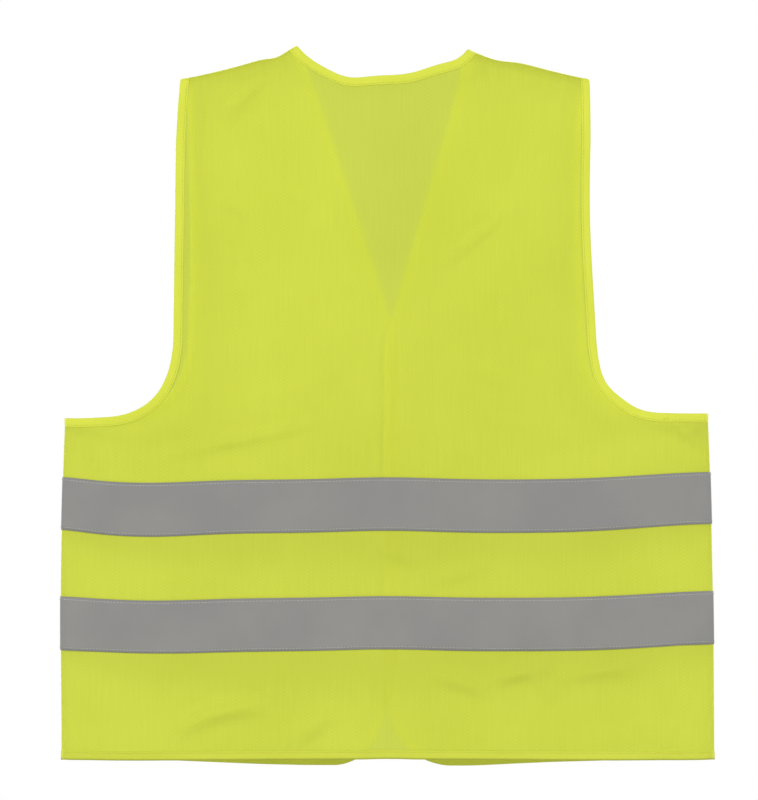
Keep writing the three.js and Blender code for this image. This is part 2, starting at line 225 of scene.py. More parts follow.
def front_hem():
    return spaced([(HEM_HALF, -LENGTH), (FRONT_HEM_TURN, -LENGTH - FRONT_HEM_DROP)])


def front_edge(side):
    """From the neck point down the V and the closure, round the corner and out along the hem."""
    edge = side * CLOSURE_X - OVERLAP / 2
    hem = -LENGTH - FRONT_HEM_DROP
    vee = bezier((NECK_HALF, 0), (NECK_HALF - V_EASE_X, -V_EASE_Z), (edge, -V_DEPTH))
    corner = bezier(
        (edge, hem + CORNER_RISE),
        (edge + CORNER_INSET, hem + CORNER_INSET),
        (edge + CORNER_RUN, hem),
    )
    return spaced(joined(vee, corner, np.array([corner[-1], (FRONT_HEM_TURN, hem)])))


# %% Whole outlines
def back_outline():
    half = joined(neck_edge()[::-1], shoulder_edge(), armhole_edge(0), side_edge())
    hem = spaced([(HEM_HALF, -LENGTH), (0, -LENGTH)])
    half = joined(half, hem)
    return np.vstack([half[:-1], on_side(LEFT, half)[::-1][:-1]])


def front_outline(side):
    armhole = armhole_edge(FRONT_ARMHOLE_INSET)
    whole = joined(shoulder_edge(), armhole, side_edge(), front_hem(), front_edge(side)[::-1])
    return on_side(side, whole[:-1])


def flat_area(outline):
    x, z = outline.T
    return abs(np.dot(x, np.roll(z, -1)) - np.dot(z, np.roll(x, -1))) / 2


for name, outline in (("back", back_outline()), ("left front", front_outline(LEFT))):
    print(name, "outline", len(outline), "points,", round(flat_area(outline), 4), "square metres")

# %% [markdown]
# ## Cut sheets of cloth
# A sheet starts as its outline with points scattered evenly inside it, joined into triangles by Blender's
# constrained Delaunay tool. Triangles of one size let cloth fold in any direction, where a grid of long
# quads would fold along its own lines. Finer columns and rows of points stand where the cloth turns
# sharply, by the side folds and the shoulder seams.

# %% A flat sheet from an outline
FOLD_CLEAR = 1.2  # steps between a side fold and the plain grid, which the finer columns fill
EDGE_CLEAR = 0.55  # steps between the outline and the nearest point inside it
FINE_CLEAR = 0.05 * MM  # the same for the finer points


def inside(outline, points):
    x, z = points.T
    result = np.zeros(len(points), bool)
    for (x0, z0), (x1, z1) in zip(outline, np.roll(outline, -1, axis=0)):
        if z0 != z1:
            crosses = (z0 > z) != (z1 > z)
            result ^= crosses & (x < x0 + (z - z0) * (x1 - x0) / (z1 - z0))
    return result


def is_fine(x, z, step, seam_rows):
    """Whether a point belongs to the finer columns of the side folds or rows of the shoulders."""
    by_fold = abs(half_width(z) - abs(x)) < 1.1 * step and z < -ARMHOLE_DEPTH
    by_seam = len(seam_rows) > 0 and shoulder_line(x) - z < max(seam_rows) + 0.1 * MM
    return by_fold or by_seam


def tree_of(points):
    """A search tree of flat points."""
    tree = kdtree.KDTree(len(points))
    for k, (x, z) in enumerate(points):
        tree.insert((x, z, 0), k)
    tree.balance()
    return tree


def even_grid(outline, step):
    """Points in staggered rows, an even step apart, over the outline's box."""
    low, high = outline.min(0), outline.max(0)
    rows = np.arange(low[1] + step / 2, high[1], step * math.sqrt(3) / 2)
    columns = np.arange(low[0], high[0], step)
    return np.array([(x + (k % 2) * step / 2, z) for k, z in enumerate(rows) for x in columns])


def flat_sheet(outline, step, fold_columns=(), seam_rows=()):
    """(points, triangles) of a sheet, with finer points by the side folds and shoulders if asked for."""
    grid = even_grid(outline, step)
    clear = FOLD_CLEAR * step if len(fold_columns) else 0
    grid = grid[np.abs(np.abs(grid[:, 0]) - half_width(grid[:, 1])) > clear]
    for column in fold_columns:
        z = np.arange(-LENGTH, -ARMHOLE_DEPTH, step / 2)
        for side in (LEFT, RIGHT):
            grid = np.vstack([grid, np.column_stack([side * (half_width(z) - column), z])])
    if len(seam_rows):
        grid = grid[shoulder_line(grid[:, 0]) - grid[:, 1] > max(seam_rows) + step / 2]
        for down in seam_rows:
            x = np.arange(NECK_HALF, SHOULDER_HALF, step / 2)
            for side in (LEFT, RIGHT):
                grid = np.vstack([grid, np.column_stack([side * x, shoulder_line(x) - down])])
    grid = grid[inside(outline, grid)]
    tree = tree_of(outline)
    near = EDGE_CLEAR * min(step, EDGE_STEP)
    fine = [FINE_CLEAR if is_fine(x, z, step, seam_rows) else near for x, z in grid]
    far_enough = [tree.find((x, z, 0))[2] > least for (x, z), least in zip(grid, fine)]
    points = np.vstack([outline, grid[np.array(far_enough)]])
    loop = [(k, (k + 1) % len(outline)) for k in range(len(outline))]
    found = geometry.delaunay_2d_cdt([Vector(p) for p in points], loop, [], 1, 1e-6)
    return np.array([tuple(p) for p in found[0]]), found[2]


# %% [markdown]
# ## How the cloth hangs
# The body of the vest is a flattened tube: at each height its section is an ellipse, shallow at the
# shoulders and deeper at the hem. Under the shoulder seam the back and front turn over to meet each other.
# The cloth isn't quite square either, so a few gentle pulls move the pattern across or up by some
# millimetres: the tapes wave a little, and the wearer's right armhole sits further in. Each face has some
# of its own. The back's hem is drawn up in the middle, the fronts hang a little below it, and the left
# front's armhole sits further in than the back's, so one layer shows beside its binding.

# %% Pulls in the plane of the cloth: x, z, reach across, reach up, move across, move up, all in mm
PULLS = (
    (-81, 0, 32, 34, -3.6, 0.8),
    (81, 0, 32, 34, -4.0, -3.4),
    (50, -20, 24, 30, 0, 5.4),
    (-36, -26, 20, 30, 0, -4.2),
    (-101, -7, 13, 22, 0, -3.6),
    (107, -9, 15, 22, 0, -2.6),
    (215, -150, 70, 130, -8.0, 0),
    (205, -311, 18, 20, -1.2, -1.2),
    (225, -334, 16, 18, 1.4, 1.6),
    (250, -352, 26, 28, 0, 1.3),
    (310, -440, 95, 70, 0, 8.2),
    (305, -560, 80, 60, 0, 5.2),
    (303, -345, 60, 45, 0, 0.6),
    (-225, -440, 62, 70, 0, -3.8),
    (-312, -440, 34, 70, 0, 3.4),
    (-215, -550, 70, 50, 0, -2.6),
    (0, -435, 60, 60, 0, 2.6),
    (0, -552, 60, 45, 0, 2.2),
    (-236, -346, 28, 30, -0.8, 0.8),
    (-299, -345, 38, 34, 0, -2.8),
    (-318, -660, 60, 110, 2.6, 0),
)
FACE_PULLS = {
    BACK: ((0, -673, 230, 60, 0, 3.0),),
    FRONT: (
        (-75, -680, 100, 60, 0, -2.6),
        (75, -680, 100, 60, 0, -2.6),
        (18, -652, 26, 42, -6.5, 0),
        (-197, -200, 45, 120, 4.6, 0),
    ),
}


def pulled(face, x, z):
    """How far the cloth at a point of the pattern is moved across and up."""
    across, up = np.zeros_like(x), np.zeros_like(x)
    for px, pz, reach_x, reach_z, move_x, move_z in PULLS + FACE_PULLS[face]:
        near = np.exp(-(((x / MM - px) / reach_x) ** 2) - ((z / MM - pz) / reach_z) ** 2)
        across = across + move_x * MM * near
        up = up + move_z * MM * near
    return across, up


# %% [markdown]
# ## Creases and soft folds
# Three things shape worn cloth: sharp creases where it was packed, soft folds where it is pulled or
# crushed, and a slow unevenness everywhere. Creases and folds are drawn here one by one, each as a line
# with a height that fades at its ends. All are drawn a fifth taller than listed, because soft lamps hide
# low relief. The slow unevenness comes from a cloth simulation further down.

# %% Folds: face, x and z of both ends, bow, half width, height, all in mm; a crease is narrow and sharp
RELIEF_GAIN = 1.2
RIPPLE_TALL = 0.4  # in mm, like the two below: the fronts ripple along their hems
RIPPLE_RUN = 29
RIPPLE_FADE = 70
SOFT_FOLDS = (
    (BACK, -160, -70, -108, -24, 0, 5, 2.0),
    (BACK, -156, -90, -112, -50, 2, 5, -0.9),
    (BACK, -162, -142, -130, -163, 2, 5, 1.5),
    (BACK, -102, -134, -72, -156, 2, 5, 1.4),
    (BACK, 48, -208, 118, -151, -2, 5, 2.2),
    (BACK, 52, -188, 98, -162, 0, 5, -0.9),
    (BACK, 130, -96, 166, -130, 3, 5, 0.7),
    (BACK, -170, -196, -112, -212, 3, 6, 0.8),
    (BACK, -176, -262, -96, -246, -3, 6, 0.8),
    (BACK, 60, -300, 152, -334, 4, 7, 1.0),
    (BACK, 92, -116, 150, -178, 5, 16, -1.0),
    (BACK, -222, -384, -52, -351, -3, 6, 3.0),
    (BACK, -274, -362, -279, -424, 0, 9, -2.2),
    (BACK, -292, -606, -290, -664, 0, 10, -2.2),
    (BACK, -150, -330, -40, -312, -4, 7, 0.9),
    (BACK, 76, -352, 176, -370, 4, 7, 0.9),
    (BACK, 246, -344, 304, -382, 3, 8, 4.6),
    (BACK, -266, -400, -290, -368, 0, 11, 1.5),
    (BACK, -16, -472, 50, -493, 3, 8, 2.8),
    (BACK, 28, -503, 104, -484, -3, 8, 2.4),
    (BACK, -236, -508, -150, -500, 4, 8, 1.2),
    (BACK, -206, -652, -104, -624, 11, 9, 6.4),
    (BACK, -92, -664, -46, -626, 4, 10, 5.0),
    (BACK, 38, -590, 102, -612, 3, 9, 4.6),
    (BACK, 96, -600, 158, -586, 4, 8, 5.6),
    (BACK, 136, -588, 158, -620, 0, 8, 2.6),
    (BACK, 162, -596, 242, -586, 4, 9, 5.6),
    (BACK, 228, -636, 282, -668, 4, 11, 2.4),
    (BACK, -22, -680, 26, -680, 0, 30, -3.4),
    (FRONT, -105, -14, -150, -110, 4, 14, 1.7),
    (FRONT, 104, -16, 148, -120, -4, 14, 1.8),
    (FRONT, -225, -372, -100, -396, 6, 10, 2.2),
    (FRONT, 230, -376, 110, -402, -6, 10, 2.2),
    (FRONT, -60, -300, -26, -390, 3, 10, 1.6),
    (FRONT, 64, -240, 28, -356, 3, 10, 1.5),
    (FRONT, 152, -190, 118, -320, 0, 13, -1.4),
    (FRONT, -170, -150, -120, -186, 3, 6, 1.0),
    (FRONT, 116, -160, 172, -132, 3, 6, 1.0),
    (FRONT, -150, -470, -40, -488, 4, 8, 1.5),
    (FRONT, 60, -486, 170, -474, 4, 8, 1.5),
    (FRONT, -220, -596, -80, -644, 12, 10, 3.4),
    (FRONT, 64, -614, 226, -588, 10, 10, 3.2),
    (FRONT, 150, -650, 240, -640, 5, 9, 2.0),
)
CREASES = (
    (BACK, -102, -290, -104, -668, 3.2, 0.7),
    (BACK, 45, -230, 44, -600, 3.0, -0.35),
    (BACK, 100, -160, 98, -668, 3.2, 0.5),
    (BACK, -190, -233, -20, -238, 3.0, 0.55),
    (BACK, 14, -236, 188, -234, 3.0, 0.5),
    (BACK, 4, -262, 3, -404, 3.0, 0.6),
    (BACK, -5, -459, -7, -515, 3.0, 0.5),
    (BACK, 0, -572, 2, -622, 3.0, 0.6),
    (FRONT, -110, -60, -109, -670, 3.2, 0.6),
    (FRONT, 108, -60, 110, -670, 3.2, 0.6),
    (FRONT, -186, -234, -60, -236, 3.0, 0.4),
    (FRONT, 60, -234, 186, -236, 3.0, 0.4),
)


def near_line(x, z, x0, z0, x1, z1, bow=0.0):
    """Distance in mm from a line that bows sideways by so much, and the share of the way along it."""
    run = np.array([x1 - x0, z1 - z0], float)
    length = np.linalg.norm(run)
    along = ((x - x0) * run[0] + (z - z0) * run[1]) / length**2
    off = ((x - x0) * run[1] - (z - z0) * run[0]) / length
    return off + 4 * bow * along * (1 - along), np.clip(along, 0, 1)


def folds(face, x, z):
    """Height of the folds and creases at points of one face."""
    x, z = x / MM, z / MM
    height = np.zeros_like(x)
    for side, x0, z0, x1, z1, bow, width, tall in SOFT_FOLDS:
        if side == face:
            off, along = near_line(x, z, x0, z0, x1, z1, bow)
            height = height + tall * np.sin(math.pi * along) * np.exp(-((off / width) ** 2))
    for side, x0, z0, x1, z1, width, tall in CREASES:
        if side == face:
            off, along = near_line(x, z, x0, z0, x1, z1)
            share = np.clip(12 * along * (1 - along), 0, 1)
            height = height + tall * share * np.exp(-np.sqrt(off**2 + 0.5) / width)
    height = RELIEF_GAIN * height
    if face == FRONT:
        fade = np.exp(-(z + LENGTH / MM) / RIPPLE_FADE)
        height = height + RIPPLE_TALL * np.sin(x / RIPPLE_RUN + 1.3) * fade
    return height * MM


# %% [markdown]
# ## Slack by cloth simulation
# A sewn panel is never flat, because its seams and bindings draw it in a little. The simulation does just
# that: the panel's seams are pinned with the cloth drawn in by a fraction of a percent, and Blender's Cloth
# lets the slack buckle and sag under gravity. Only the height that it finds is kept, capped at a few
# millimetres, on an even grid that any piece laid on the cloth can look up.

# %% Slack of one panel
SIM_STEP = 11 * MM
SIM_FRAMES = 22
DRAWN_IN = 0.9955  # share of its width at which the seams hold the cloth
MOST_SLACK = 1.92 * MM
SLACK_SOFT = 2.4 * MM  # simulated height at which that cap starts to bite
RUFFLE = 0.35 * MM  # a first unevenness, so that the cloth can start to buckle
GRID_STEP = 8 * MM
GRID_X = np.arange(-0.32, 0.3201, GRID_STEP)
GRID_Z = np.arange(-0.68, 0.0081, GRID_STEP)
FLAT_GRID = np.zeros((len(GRID_X), len(GRID_Z)))


def held_points(points):
    """Whether a seam holds the cloth at each point: the shoulder seam or a side fold."""
    x, z = points.T
    at_shoulder = (np.abs(x) > NECK_HALF * 0.98) & (shoulder_line(x) - z < 6 * MM)
    at_side = (half_width(z) - np.abs(x) < 4 * MM) & (z < -ARMHOLE_DEPTH)
    return at_shoulder | at_side


def simulated_slack(name, outline, seed):
    points, triangles = flat_sheet(outline, SIM_STEP)
    ruffle = np.random.default_rng(seed).normal(0, RUFFLE, len(points))
    mesh = bpy.data.meshes.new(name)
    rest = [(x, 0, z) for x, z in points]
    mesh.from_pydata(rest, [], triangles)
    cloth = bpy.data.objects.new(name, mesh)
    bpy.context.scene.collection.objects.link(cloth)
    pins = cloth.vertex_groups.new(name="seams")
    pins.add([int(k) for k in np.flatnonzero(held_points(points))], 1.0, "REPLACE")
    cloth.shape_key_add(name="drawn_in")
    cut = cloth.shape_key_add(name="cut")
    start = cloth.data.shape_keys.key_blocks["drawn_in"]
    for k, (x, z) in enumerate(points):
        start.data[k].co = (x * DRAWN_IN, ruffle[k], z)
        cut.data[k].co = (x, 0, z)
    cloth.active_shape_key_index = 0
    modifier = cloth.modifiers.new("slack", "CLOTH")
    settings = modifier.settings
    settings.rest_shape_key = cut
    settings.vertex_group_mass = "seams"
    settings.quality = 5
    settings.mass = 0.05
    settings.tension_stiffness = 18
    settings.compression_stiffness = 18
    settings.shear_stiffness = 8
    settings.bending_stiffness = 0.35
    settings.air_damping = 2.0
    modifier.collision_settings.use_collision = False
    modifier.point_cache.frame_start = 1
    modifier.point_cache.frame_end = SIM_FRAMES
    scene = bpy.context.scene
    for step in range(1, SIM_FRAMES + 1):
        scene.frame_set(step)
    hung = cloth.evaluated_get(bpy.context.evaluated_depsgraph_get()).to_mesh()
    height = np.array([v.co.y for v in hung.vertices])
    scene.frame_set(1)
    bpy.data.objects.remove(cloth)
    height = MOST_SLACK * np.tanh(height / SLACK_SOFT)
    tree = tree_of(points)
    grid = FLAT_GRID.copy()
    for i, x in enumerate(GRID_X):
        for j, z in enumerate(GRID_Z):
            found = tree.find_n((x, z, 0), 5)
            weight = [1 / (distance + 0.3 * SIM_STEP) ** 2 for _, _, distance in found]
            total = sum(w * height[k] for w, (_, k, _) in zip(weight, found))
            grid[i, j] = total / sum(weight)
    print(name, "slack from", round(grid.min() / MM, 2), "to", round(grid.max() / MM, 2), "mm")
    return grid


SLACK = {(BACK, 0): FLAT_GRID, (FRONT, LEFT): FLAT_GRID, (FRONT, RIGHT): FLAT_GRID}
SLACK = {
    (BACK, 0): simulated_slack("back_slack", back_outline(), 11),
    (FRONT, LEFT): simulated_slack("left_front_slack", front_outline(LEFT), 12),
    (FRONT, RIGHT): simulated_slack("right_front_slack", front_outline(RIGHT), 13),
}


def slack(face, side, x, z):
    """The simulated height at points of the back, or of the front on one side."""
    grid = SLACK[face, side]
    i = np.clip((x - GRID_X[0]) / GRID_STEP, 0, len(GRID_X) - 1.001)
    j = np.clip((z - GRID_Z[0]) / GRID_STEP, 0, len(GRID_Z) - 1.001)
    a, b = i.astype(int), j.astype(int)
    s, t = i - a, j - b
    low = grid[a, b] * (1 - s) + grid[a + 1, b] * s
    high = grid[a, b + 1] * (1 - s) + grid[a + 1, b + 1] * s
    return low * (1 - t) + high * t


# %% [markdown]
# ## Laying a flat point on the body
# One function places everything, so that cloth, binding, tape and thread stay together: it takes points of
# the flat pattern and a level above the cloth's middle, and gives points in space with their normals.

# %% The body's surface
RELIEF_EDGE = 14 * MM  # how far from a side fold the relief has faded in
LAP_CALM = 0.75  # share of the relief that the closure takes out, where two fronts are fastened flat
PROBE = 1 * MM  # step over which the relief's slope is measured


def fold_line(z):
    """Where a front folds back: from the neck point to a point on the hem."""
    return NECK_HALF + (FOLD_HEM_X - NECK_HALF) * (-z / LENGTH)


def body(face, x, z, side=0):
    """Depth of the body's section at points of the pattern, the shares that give the place and normal
    there, and the relief of folds and slack."""
    width = half_width(z)
    u = np.clip(x / width, -1, 1)
    round_share = np.sqrt(np.maximum(0, 1 - np.maximum(np.abs(u), FLAT_HALF) ** 2))
    below = np.clip((shoulder_line(x) - z) / SHOULDER_ROUND, 0, 1)
    turn = np.sqrt(np.maximum(0, 1 - (1 - below) ** 2))
    depth = DEPTH_TOP + (DEPTH_HEM - DEPTH_TOP) * -z / LENGTH
    fade = np.clip((width - np.abs(x)) / RELIEF_EDGE, 0, 1) * below
    relief = folds(face, x, z) + slack(face, side, x, z)
    if side:
        toward = np.clip((fold_line(z) - side * x) / fold_line(z), 0, 1)
        relief = relief * (1 - LAP_CALM * toward**2) - side * LAP_SHIFT * toward
    return depth, u, width, round_share, below, turn, relief * fade


def lay(face, x, z, level=0.0, side=0):
    """(points, normals) of pattern points laid on the body, level metres above the cloth's middle."""
    x, z = np.array(x, float), np.array(z, float)
    depth, u, width, e, below, turn, relief = body(face, x, z, side)
    relief_x = (body(face, x + PROBE, z, side)[-1] - relief) / PROBE
    relief_z = (body(face, x, z + PROBE, side)[-1] - relief) / PROBE
    lean = (DEPTH_HEM - DEPTH_TOP) / LENGTH
    normal = np.column_stack(
        [
            turn * (np.where(np.abs(u) > FLAT_HALF, depth * u / width, 0) - e * relief_x),
            face * e * turn,
            turn * (lean * e**2 - e * relief_z) + e * depth * (1 - below) / SHOULDER_ROUND,
        ]
    )
    normal /= np.maximum(np.linalg.norm(normal, axis=1), 1e-9)[:, None]
    across, up = pulled(face, x, z)
    y = face * (SEAM_GAP + depth * e * turn + relief)
    points = np.column_stack([x + across, y, z + up])
    return points + normal * np.broadcast_to(level, x.shape)[:, None], normal


# %% [markdown]
# ## Small helpers
# One function makes a mesh object with a "cut" UV map, which holds each point's place on the flat pattern
# in metres. Woven and knitted materials read it, so their threads follow the cloth wherever it bends.
# Another adds a node with its settings and links, for materials and Geometry Nodes alike, and a few more
# name the sums that every material here needs.

# %% Mesh objects
def add_mesh(name, points, faces, flat=None, smooth=True):
    mesh = bpy.data.meshes.new(name)
    mesh.from_pydata([tuple(p) for p in points], [], [tuple(int(k) for k in f) for f in faces])
    if flat is not None:
        uv = mesh.uv_layers.new(name="cut")
        corner = np.zeros(len(mesh.loops), np.int32)
        mesh.loops.foreach_get("vertex_index", corner)
        uv.data.foreach_set("uv", np.array(flat, np.float32)[corner].ravel())
    mesh.polygons.foreach_set("use_smooth", [smooth] * len(mesh.polygons))
    mesh.validate()
    made = bpy.data.objects.new(name, mesh)
    bpy.context.scene.collection.objects.link(made)
    return made


def grid_faces(rows, columns, first=0):
    """Quads between the points of a grid, row by row."""
    starts = [first + j * columns + i for j in range(rows - 1) for i in range(columns - 1)]
    return [(a, a + 1, a + columns + 1, a + columns) for a in starts]


def tube_faces(rings, around, turn):
    """Quads of a closed section swept through rings, with both ends capped."""
    faces = []
    for i in range(rings - 1):
        for k in range(around):
            m = (k + 1) % around
            faces.append((i * around + k, i * around + m, (i + 1) * around + m, (i + 1) * around + k))
    last = (rings - 1) * around
    faces += [tuple(range(around))[::-1], tuple(range(last, last + around))]
    return turned_over(faces) if turn else faces


def turned_over(faces):
    return [face[::-1] for face in faces]


def solid_wall(piece, thick):
    """Gives a sheet its thickness, half to each side."""
    wall = piece.modifiers.new("thickness", "SOLIDIFY")
    wall.thickness = thick
    wall.offset = 0.0


def say(piece):
    low, high = np.array([c[:] for c in piece.bound_box])[[0, 6]]
    size = " x ".join(str(round((b - a) / MM, 1)) for a, b in zip(low, high))
    print(piece.name, len(piece.data.polygons), "faces,", size, "mm")
    return piece


# %% Nodes
def add_node(tree, kind, inputs=None, **settings):
    """Adds a node, sets its properties, and gives each named input a value or a link."""
    made = tree.nodes.new(kind)
    for name, value in settings.items():
        setattr(made, name, value)
    for name, value in (inputs or {}).items():
        if isinstance(value, bpy.types.NodeSocket):
            tree.links.new(value, made.inputs[name])
        else:
            made.inputs[name].default_value = value
    return made


def maths(tree, kind, a, b):
    """Two numbers put together by a Math node."""
    return add_node(tree, "ShaderNodeMath", {0: a, 1: b}, operation=kind).outputs[0]


def ranged(tree, value, low, high, to_low, to_high):
    """A number moved from one range to another, and held inside it."""
    ends = {"Value": value, 1: low, 2: high, 3: to_low, 4: to_high}
    return add_node(tree, "ShaderNodeMapRange", ends).outputs[0]


def shaded(tree, colour, share):
    """A colour made lighter or darker by a share."""
    inputs = {0: colour, "Scale": share}
    return add_node(tree, "ShaderNodeVectorMath", inputs, operation="SCALE").outputs[0]


def cut_place(tree):
    """The place on the flat pattern, in metres."""
    return add_node(tree, "ShaderNodeUVMap", uv_map="cut").outputs["UV"]


def object_place(tree):
    return add_node(tree, "ShaderNodeTexCoord").outputs["Object"]


def noise_share(tree, where, scale, detail):
    inputs = {"Vector": where, "Scale": scale, "Detail": detail}
    return add_node(tree, "ShaderNodeTexNoise", inputs).outputs["Fac"]


def raised(tree, height, strength, distance):
    """A bump of that height, in metres."""
    inputs = {"Height": height, "Strength": strength, "Distance": distance}
    return add_node(tree, "ShaderNodeBump", inputs).outputs[0]


def hex_colour(text):
    """A linear colour from an sRGB hex value."""
    shares = [int(text[k : k + 2], 16) / 255 for k in (1, 3, 5)]
    return [s / 12.92 if s <= 0.04045 else ((s + 0.055) / 1.055) ** 2.4 for s in shares] + [1.0]


def new_material(name):
    material = bpy.data.materials.new(name)
    material.use_nodes = True
    material.node_tree.nodes.clear()
    return material, material.node_tree


def band_scale(pitch):
    """Scale of a Wave Texture whose bands are that many metres apart."""
    return 2 * math.pi / 20 / pitch


# %% [markdown]
# ## Fluorescent knit
# The body is a fine warp-knitted polyester, dyed fluorescent yellow. Its loops stand in upright ribs, and
# slanting threads between them leave tiny holes: some of what lies behind shows through, so one layer
# looks a little duller than two. The real ribs are about 1.2 mm apart; they are drawn 2.4 mm apart here,
# because finer ones wouldn't show. Light gets through such cloth more easily than sight does, so lamps see
# it more open than the eye. The cloth has a little thickness, and only the face that is met first is
# shaded: the far wall of the same thread layer is left clear.

# %% Knit material
RIB_PITCH = 2.4 * MM
MESH_PITCH = 3.0 * MM
MESH_SLANT = 58  # degrees from the ribs to the threads between them
STREAK_WIDE = 1.9 * MM  # dye streaks along the ribs
STREAK_LONG = 45 * MM
SIGHT_OPEN = 0.24  # share of what lies behind that the eye sees through one layer
LIGHT_OPEN = 0.62  # share of a lamp's light that gets through it


def knit_bands(tree, uv, pitch, turned):
    """Bands of thread across the cloth, turned by an angle in degrees, from 0 to 1."""
    rotation = {"Vector": uv, "Rotation": (0, 0, math.radians(turned))}
    turned_place = add_node(tree, "ShaderNodeMapping", rotation).outputs[0]
    bands = {"Vector": turned_place, "Scale": band_scale(pitch), "Distortion": 0.0}
    return add_node(tree, "ShaderNodeTexWave", bands).outputs["Fac"]


def cloth_colour(tree, where, dark, light, patch):
    """A colour that drifts slowly between two values, as dyed cloth does, over patches of a given size."""
    noise = add_node(
        tree,
        "ShaderNodeTexNoise",
        {"Vector": where, "Scale": 1 / patch, "Detail": 3.0, "Roughness": 0.55},
    )
    ramp = add_node(tree, "ShaderNodeValToRGB", {"Fac": noise.outputs["Fac"]})
    ramp.color_ramp.elements[0].position = 0.35
    ramp.color_ramp.elements[1].position = 0.65
    ramp.color_ramp.elements[0].color = hex_colour(dark)
    ramp.color_ramp.elements[1].color = hex_colour(light)
    return ramp.outputs["Color"]


def fluorescent_warp_knit():
    material, tree = new_material("fluorescent_warp_knit_polyester")
    uv = cut_place(tree)
    ribs = knit_bands(tree, uv, RIB_PITCH, 0)
    rising = knit_bands(tree, uv, MESH_PITCH, MESH_SLANT)
    falling = knit_bands(tree, uv, MESH_PITCH, -MESH_SLANT)
    lattice = maths(tree, "MULTIPLY", rising, falling)
    thread = maths(tree, "ADD", ribs, lattice)
    squeeze = {"Vector": uv, "Scale": (1 / STREAK_WIDE, 1 / STREAK_LONG, 1)}
    streaks = noise_share(tree, add_node(tree, "ShaderNodeMapping", squeeze).outputs[0], 1.0, 2.0)
    even = ranged(tree, thread, 0.0, 2.0, 0.993, 1.007)
    ribbed = ranged(tree, streaks, 0.3, 0.7, 0.982, 1.018)
    drift = cloth_colour(tree, object_place(tree), "#cbd244", "#d0d749", 0.16)
    cloth = add_node(
        tree,
        "ShaderNodeBsdfPrincipled",
        {
            "Base Color": shaded(tree, drift, maths(tree, "MULTIPLY", even, ribbed)),
            "Roughness": 0.82,
            "Specular IOR Level": 0.18,
            "Sheen Weight": 0.06,
            "Sheen Roughness": 0.5,
            "Normal": raised(tree, thread, 0.22, 0.05 * MM),
        },
    )
    holes = ranged(tree, lattice, 0.0, 1.0, SIGHT_OPEN * 1.06, SIGHT_OPEN * 0.92)
    lamp_ray = add_node(tree, "ShaderNodeLightPath").outputs["Is Shadow Ray"]
    either = {"Factor": lamp_ray, "A": holes, "B": LIGHT_OPEN}
    open_share = add_node(tree, "ShaderNodeMix", either, data_type="FLOAT").outputs[0]
    far_wall = add_node(tree, "ShaderNodeNewGeometry").outputs["Backfacing"]
    share = maths(tree, "MAXIMUM", open_share, far_wall)
    clear = add_node(tree, "ShaderNodeBsdfTransparent")
    layers = {0: share, 1: cloth.outputs[0], 2: clear.outputs[0]}
    mixed = add_node(tree, "ShaderNodeMixShader", layers)
    add_node(tree, "ShaderNodeOutputMaterial", {"Surface": mixed.outputs[0]})
    return material


# %% [markdown]
# ## Binding, tape, thread and fastener
# The binding is a closer weave of the same colour, so it is brighter and nothing shows through it. The
# back's hem has a darker copy of it, as painted shade, and a painted shade darkens the lowest few
# millimetres of every hem.
# The reflective tape is a layer of glass beads on cloth: from the side of a lamp it is a flat, even grey
# with a fine grain and faint rubbed patches. The thread is spun polyester. The fastener is moulded nylon
# hooks against a brushed nylon pile, and the label is satin ribbon with nothing printed on it.

# %% Materials of the trimmings
RIM_SHADE_LOW = 0.1 * MM - LENGTH  # heights on the pattern between which the painted shade along a hem's rim fades out
RIM_SHADE_HIGH = 1.5 * MM - LENGTH
# share of the colour kept at a hem's rim: painted shade, where the rim turns down away from the lamps
RIM_SHADE_SHARE = 0.62
BEAD_GRAIN = 0.9 * MM
YARN_TURN = 0.5 * MM


def woven(name, dark, light, pitch, roughness, depth, specular=0.2, sheen=0.05):
    """A plain weave with its threads pitch metres apart, with painted shade where it is the foot of a hem.
    """
    material, tree = new_material(name)
    uv = cut_place(tree)
    warp = knit_bands(tree, uv, pitch, 0)
    weft = knit_bands(tree, uv, pitch, 90)
    weave = maths(tree, "MULTIPLY", warp, weft)
    even = ranged(tree, weave, 0.0, 1.0, 0.97, 1.03)
    height = add_node(tree, "ShaderNodeSeparateXYZ", {"Vector": uv}).outputs["Y"]
    # painted shade, darker towards the rim of a hem
    rim_shade = ranged(tree, height, RIM_SHADE_LOW, RIM_SHADE_HIGH, RIM_SHADE_SHARE, 1.0)
    drift = cloth_colour(tree, object_place(tree), dark, light, 0.09)
    cloth = add_node(
        tree,
        "ShaderNodeBsdfPrincipled",
        {
            "Base Color": shaded(tree, drift, maths(tree, "MULTIPLY", even, rim_shade)),
            "Roughness": roughness,
            "Specular IOR Level": specular,
            "Sheen Weight": sheen,
            "Normal": raised(tree, weave, 0.4, depth),
        },
    )
    add_node(tree, "ShaderNodeOutputMaterial", {"Surface": cloth.outputs[0]})
    return material


def glass_bead_tape():
    """Beads of about 0.06 mm, drawn as a coarser grain, and rubbed patches some centimetres across."""
    material, tree = new_material("glass_bead_reflective_tape")
    beads = noise_share(tree, cut_place(tree), 1 / BEAD_GRAIN, 2.0)
    drift = cloth_colour(tree, object_place(tree), "#848382", "#898886", 0.07)
    film = add_node(
        tree,
        "ShaderNodeBsdfPrincipled",
        {
            "Base Color": shaded(tree, drift, ranged(tree, beads, 0.3, 0.7, 0.965, 1.035)),
            "Roughness": ranged(tree, beads, 0.3, 0.7, 0.5, 0.68),
            "Specular IOR Level": 0.25,
            "Normal": raised(tree, beads, 0.2, 0.05 * MM),
        },
    )
    add_node(tree, "ShaderNodeOutputMaterial", {"Surface": film.outputs[0]})
    return material


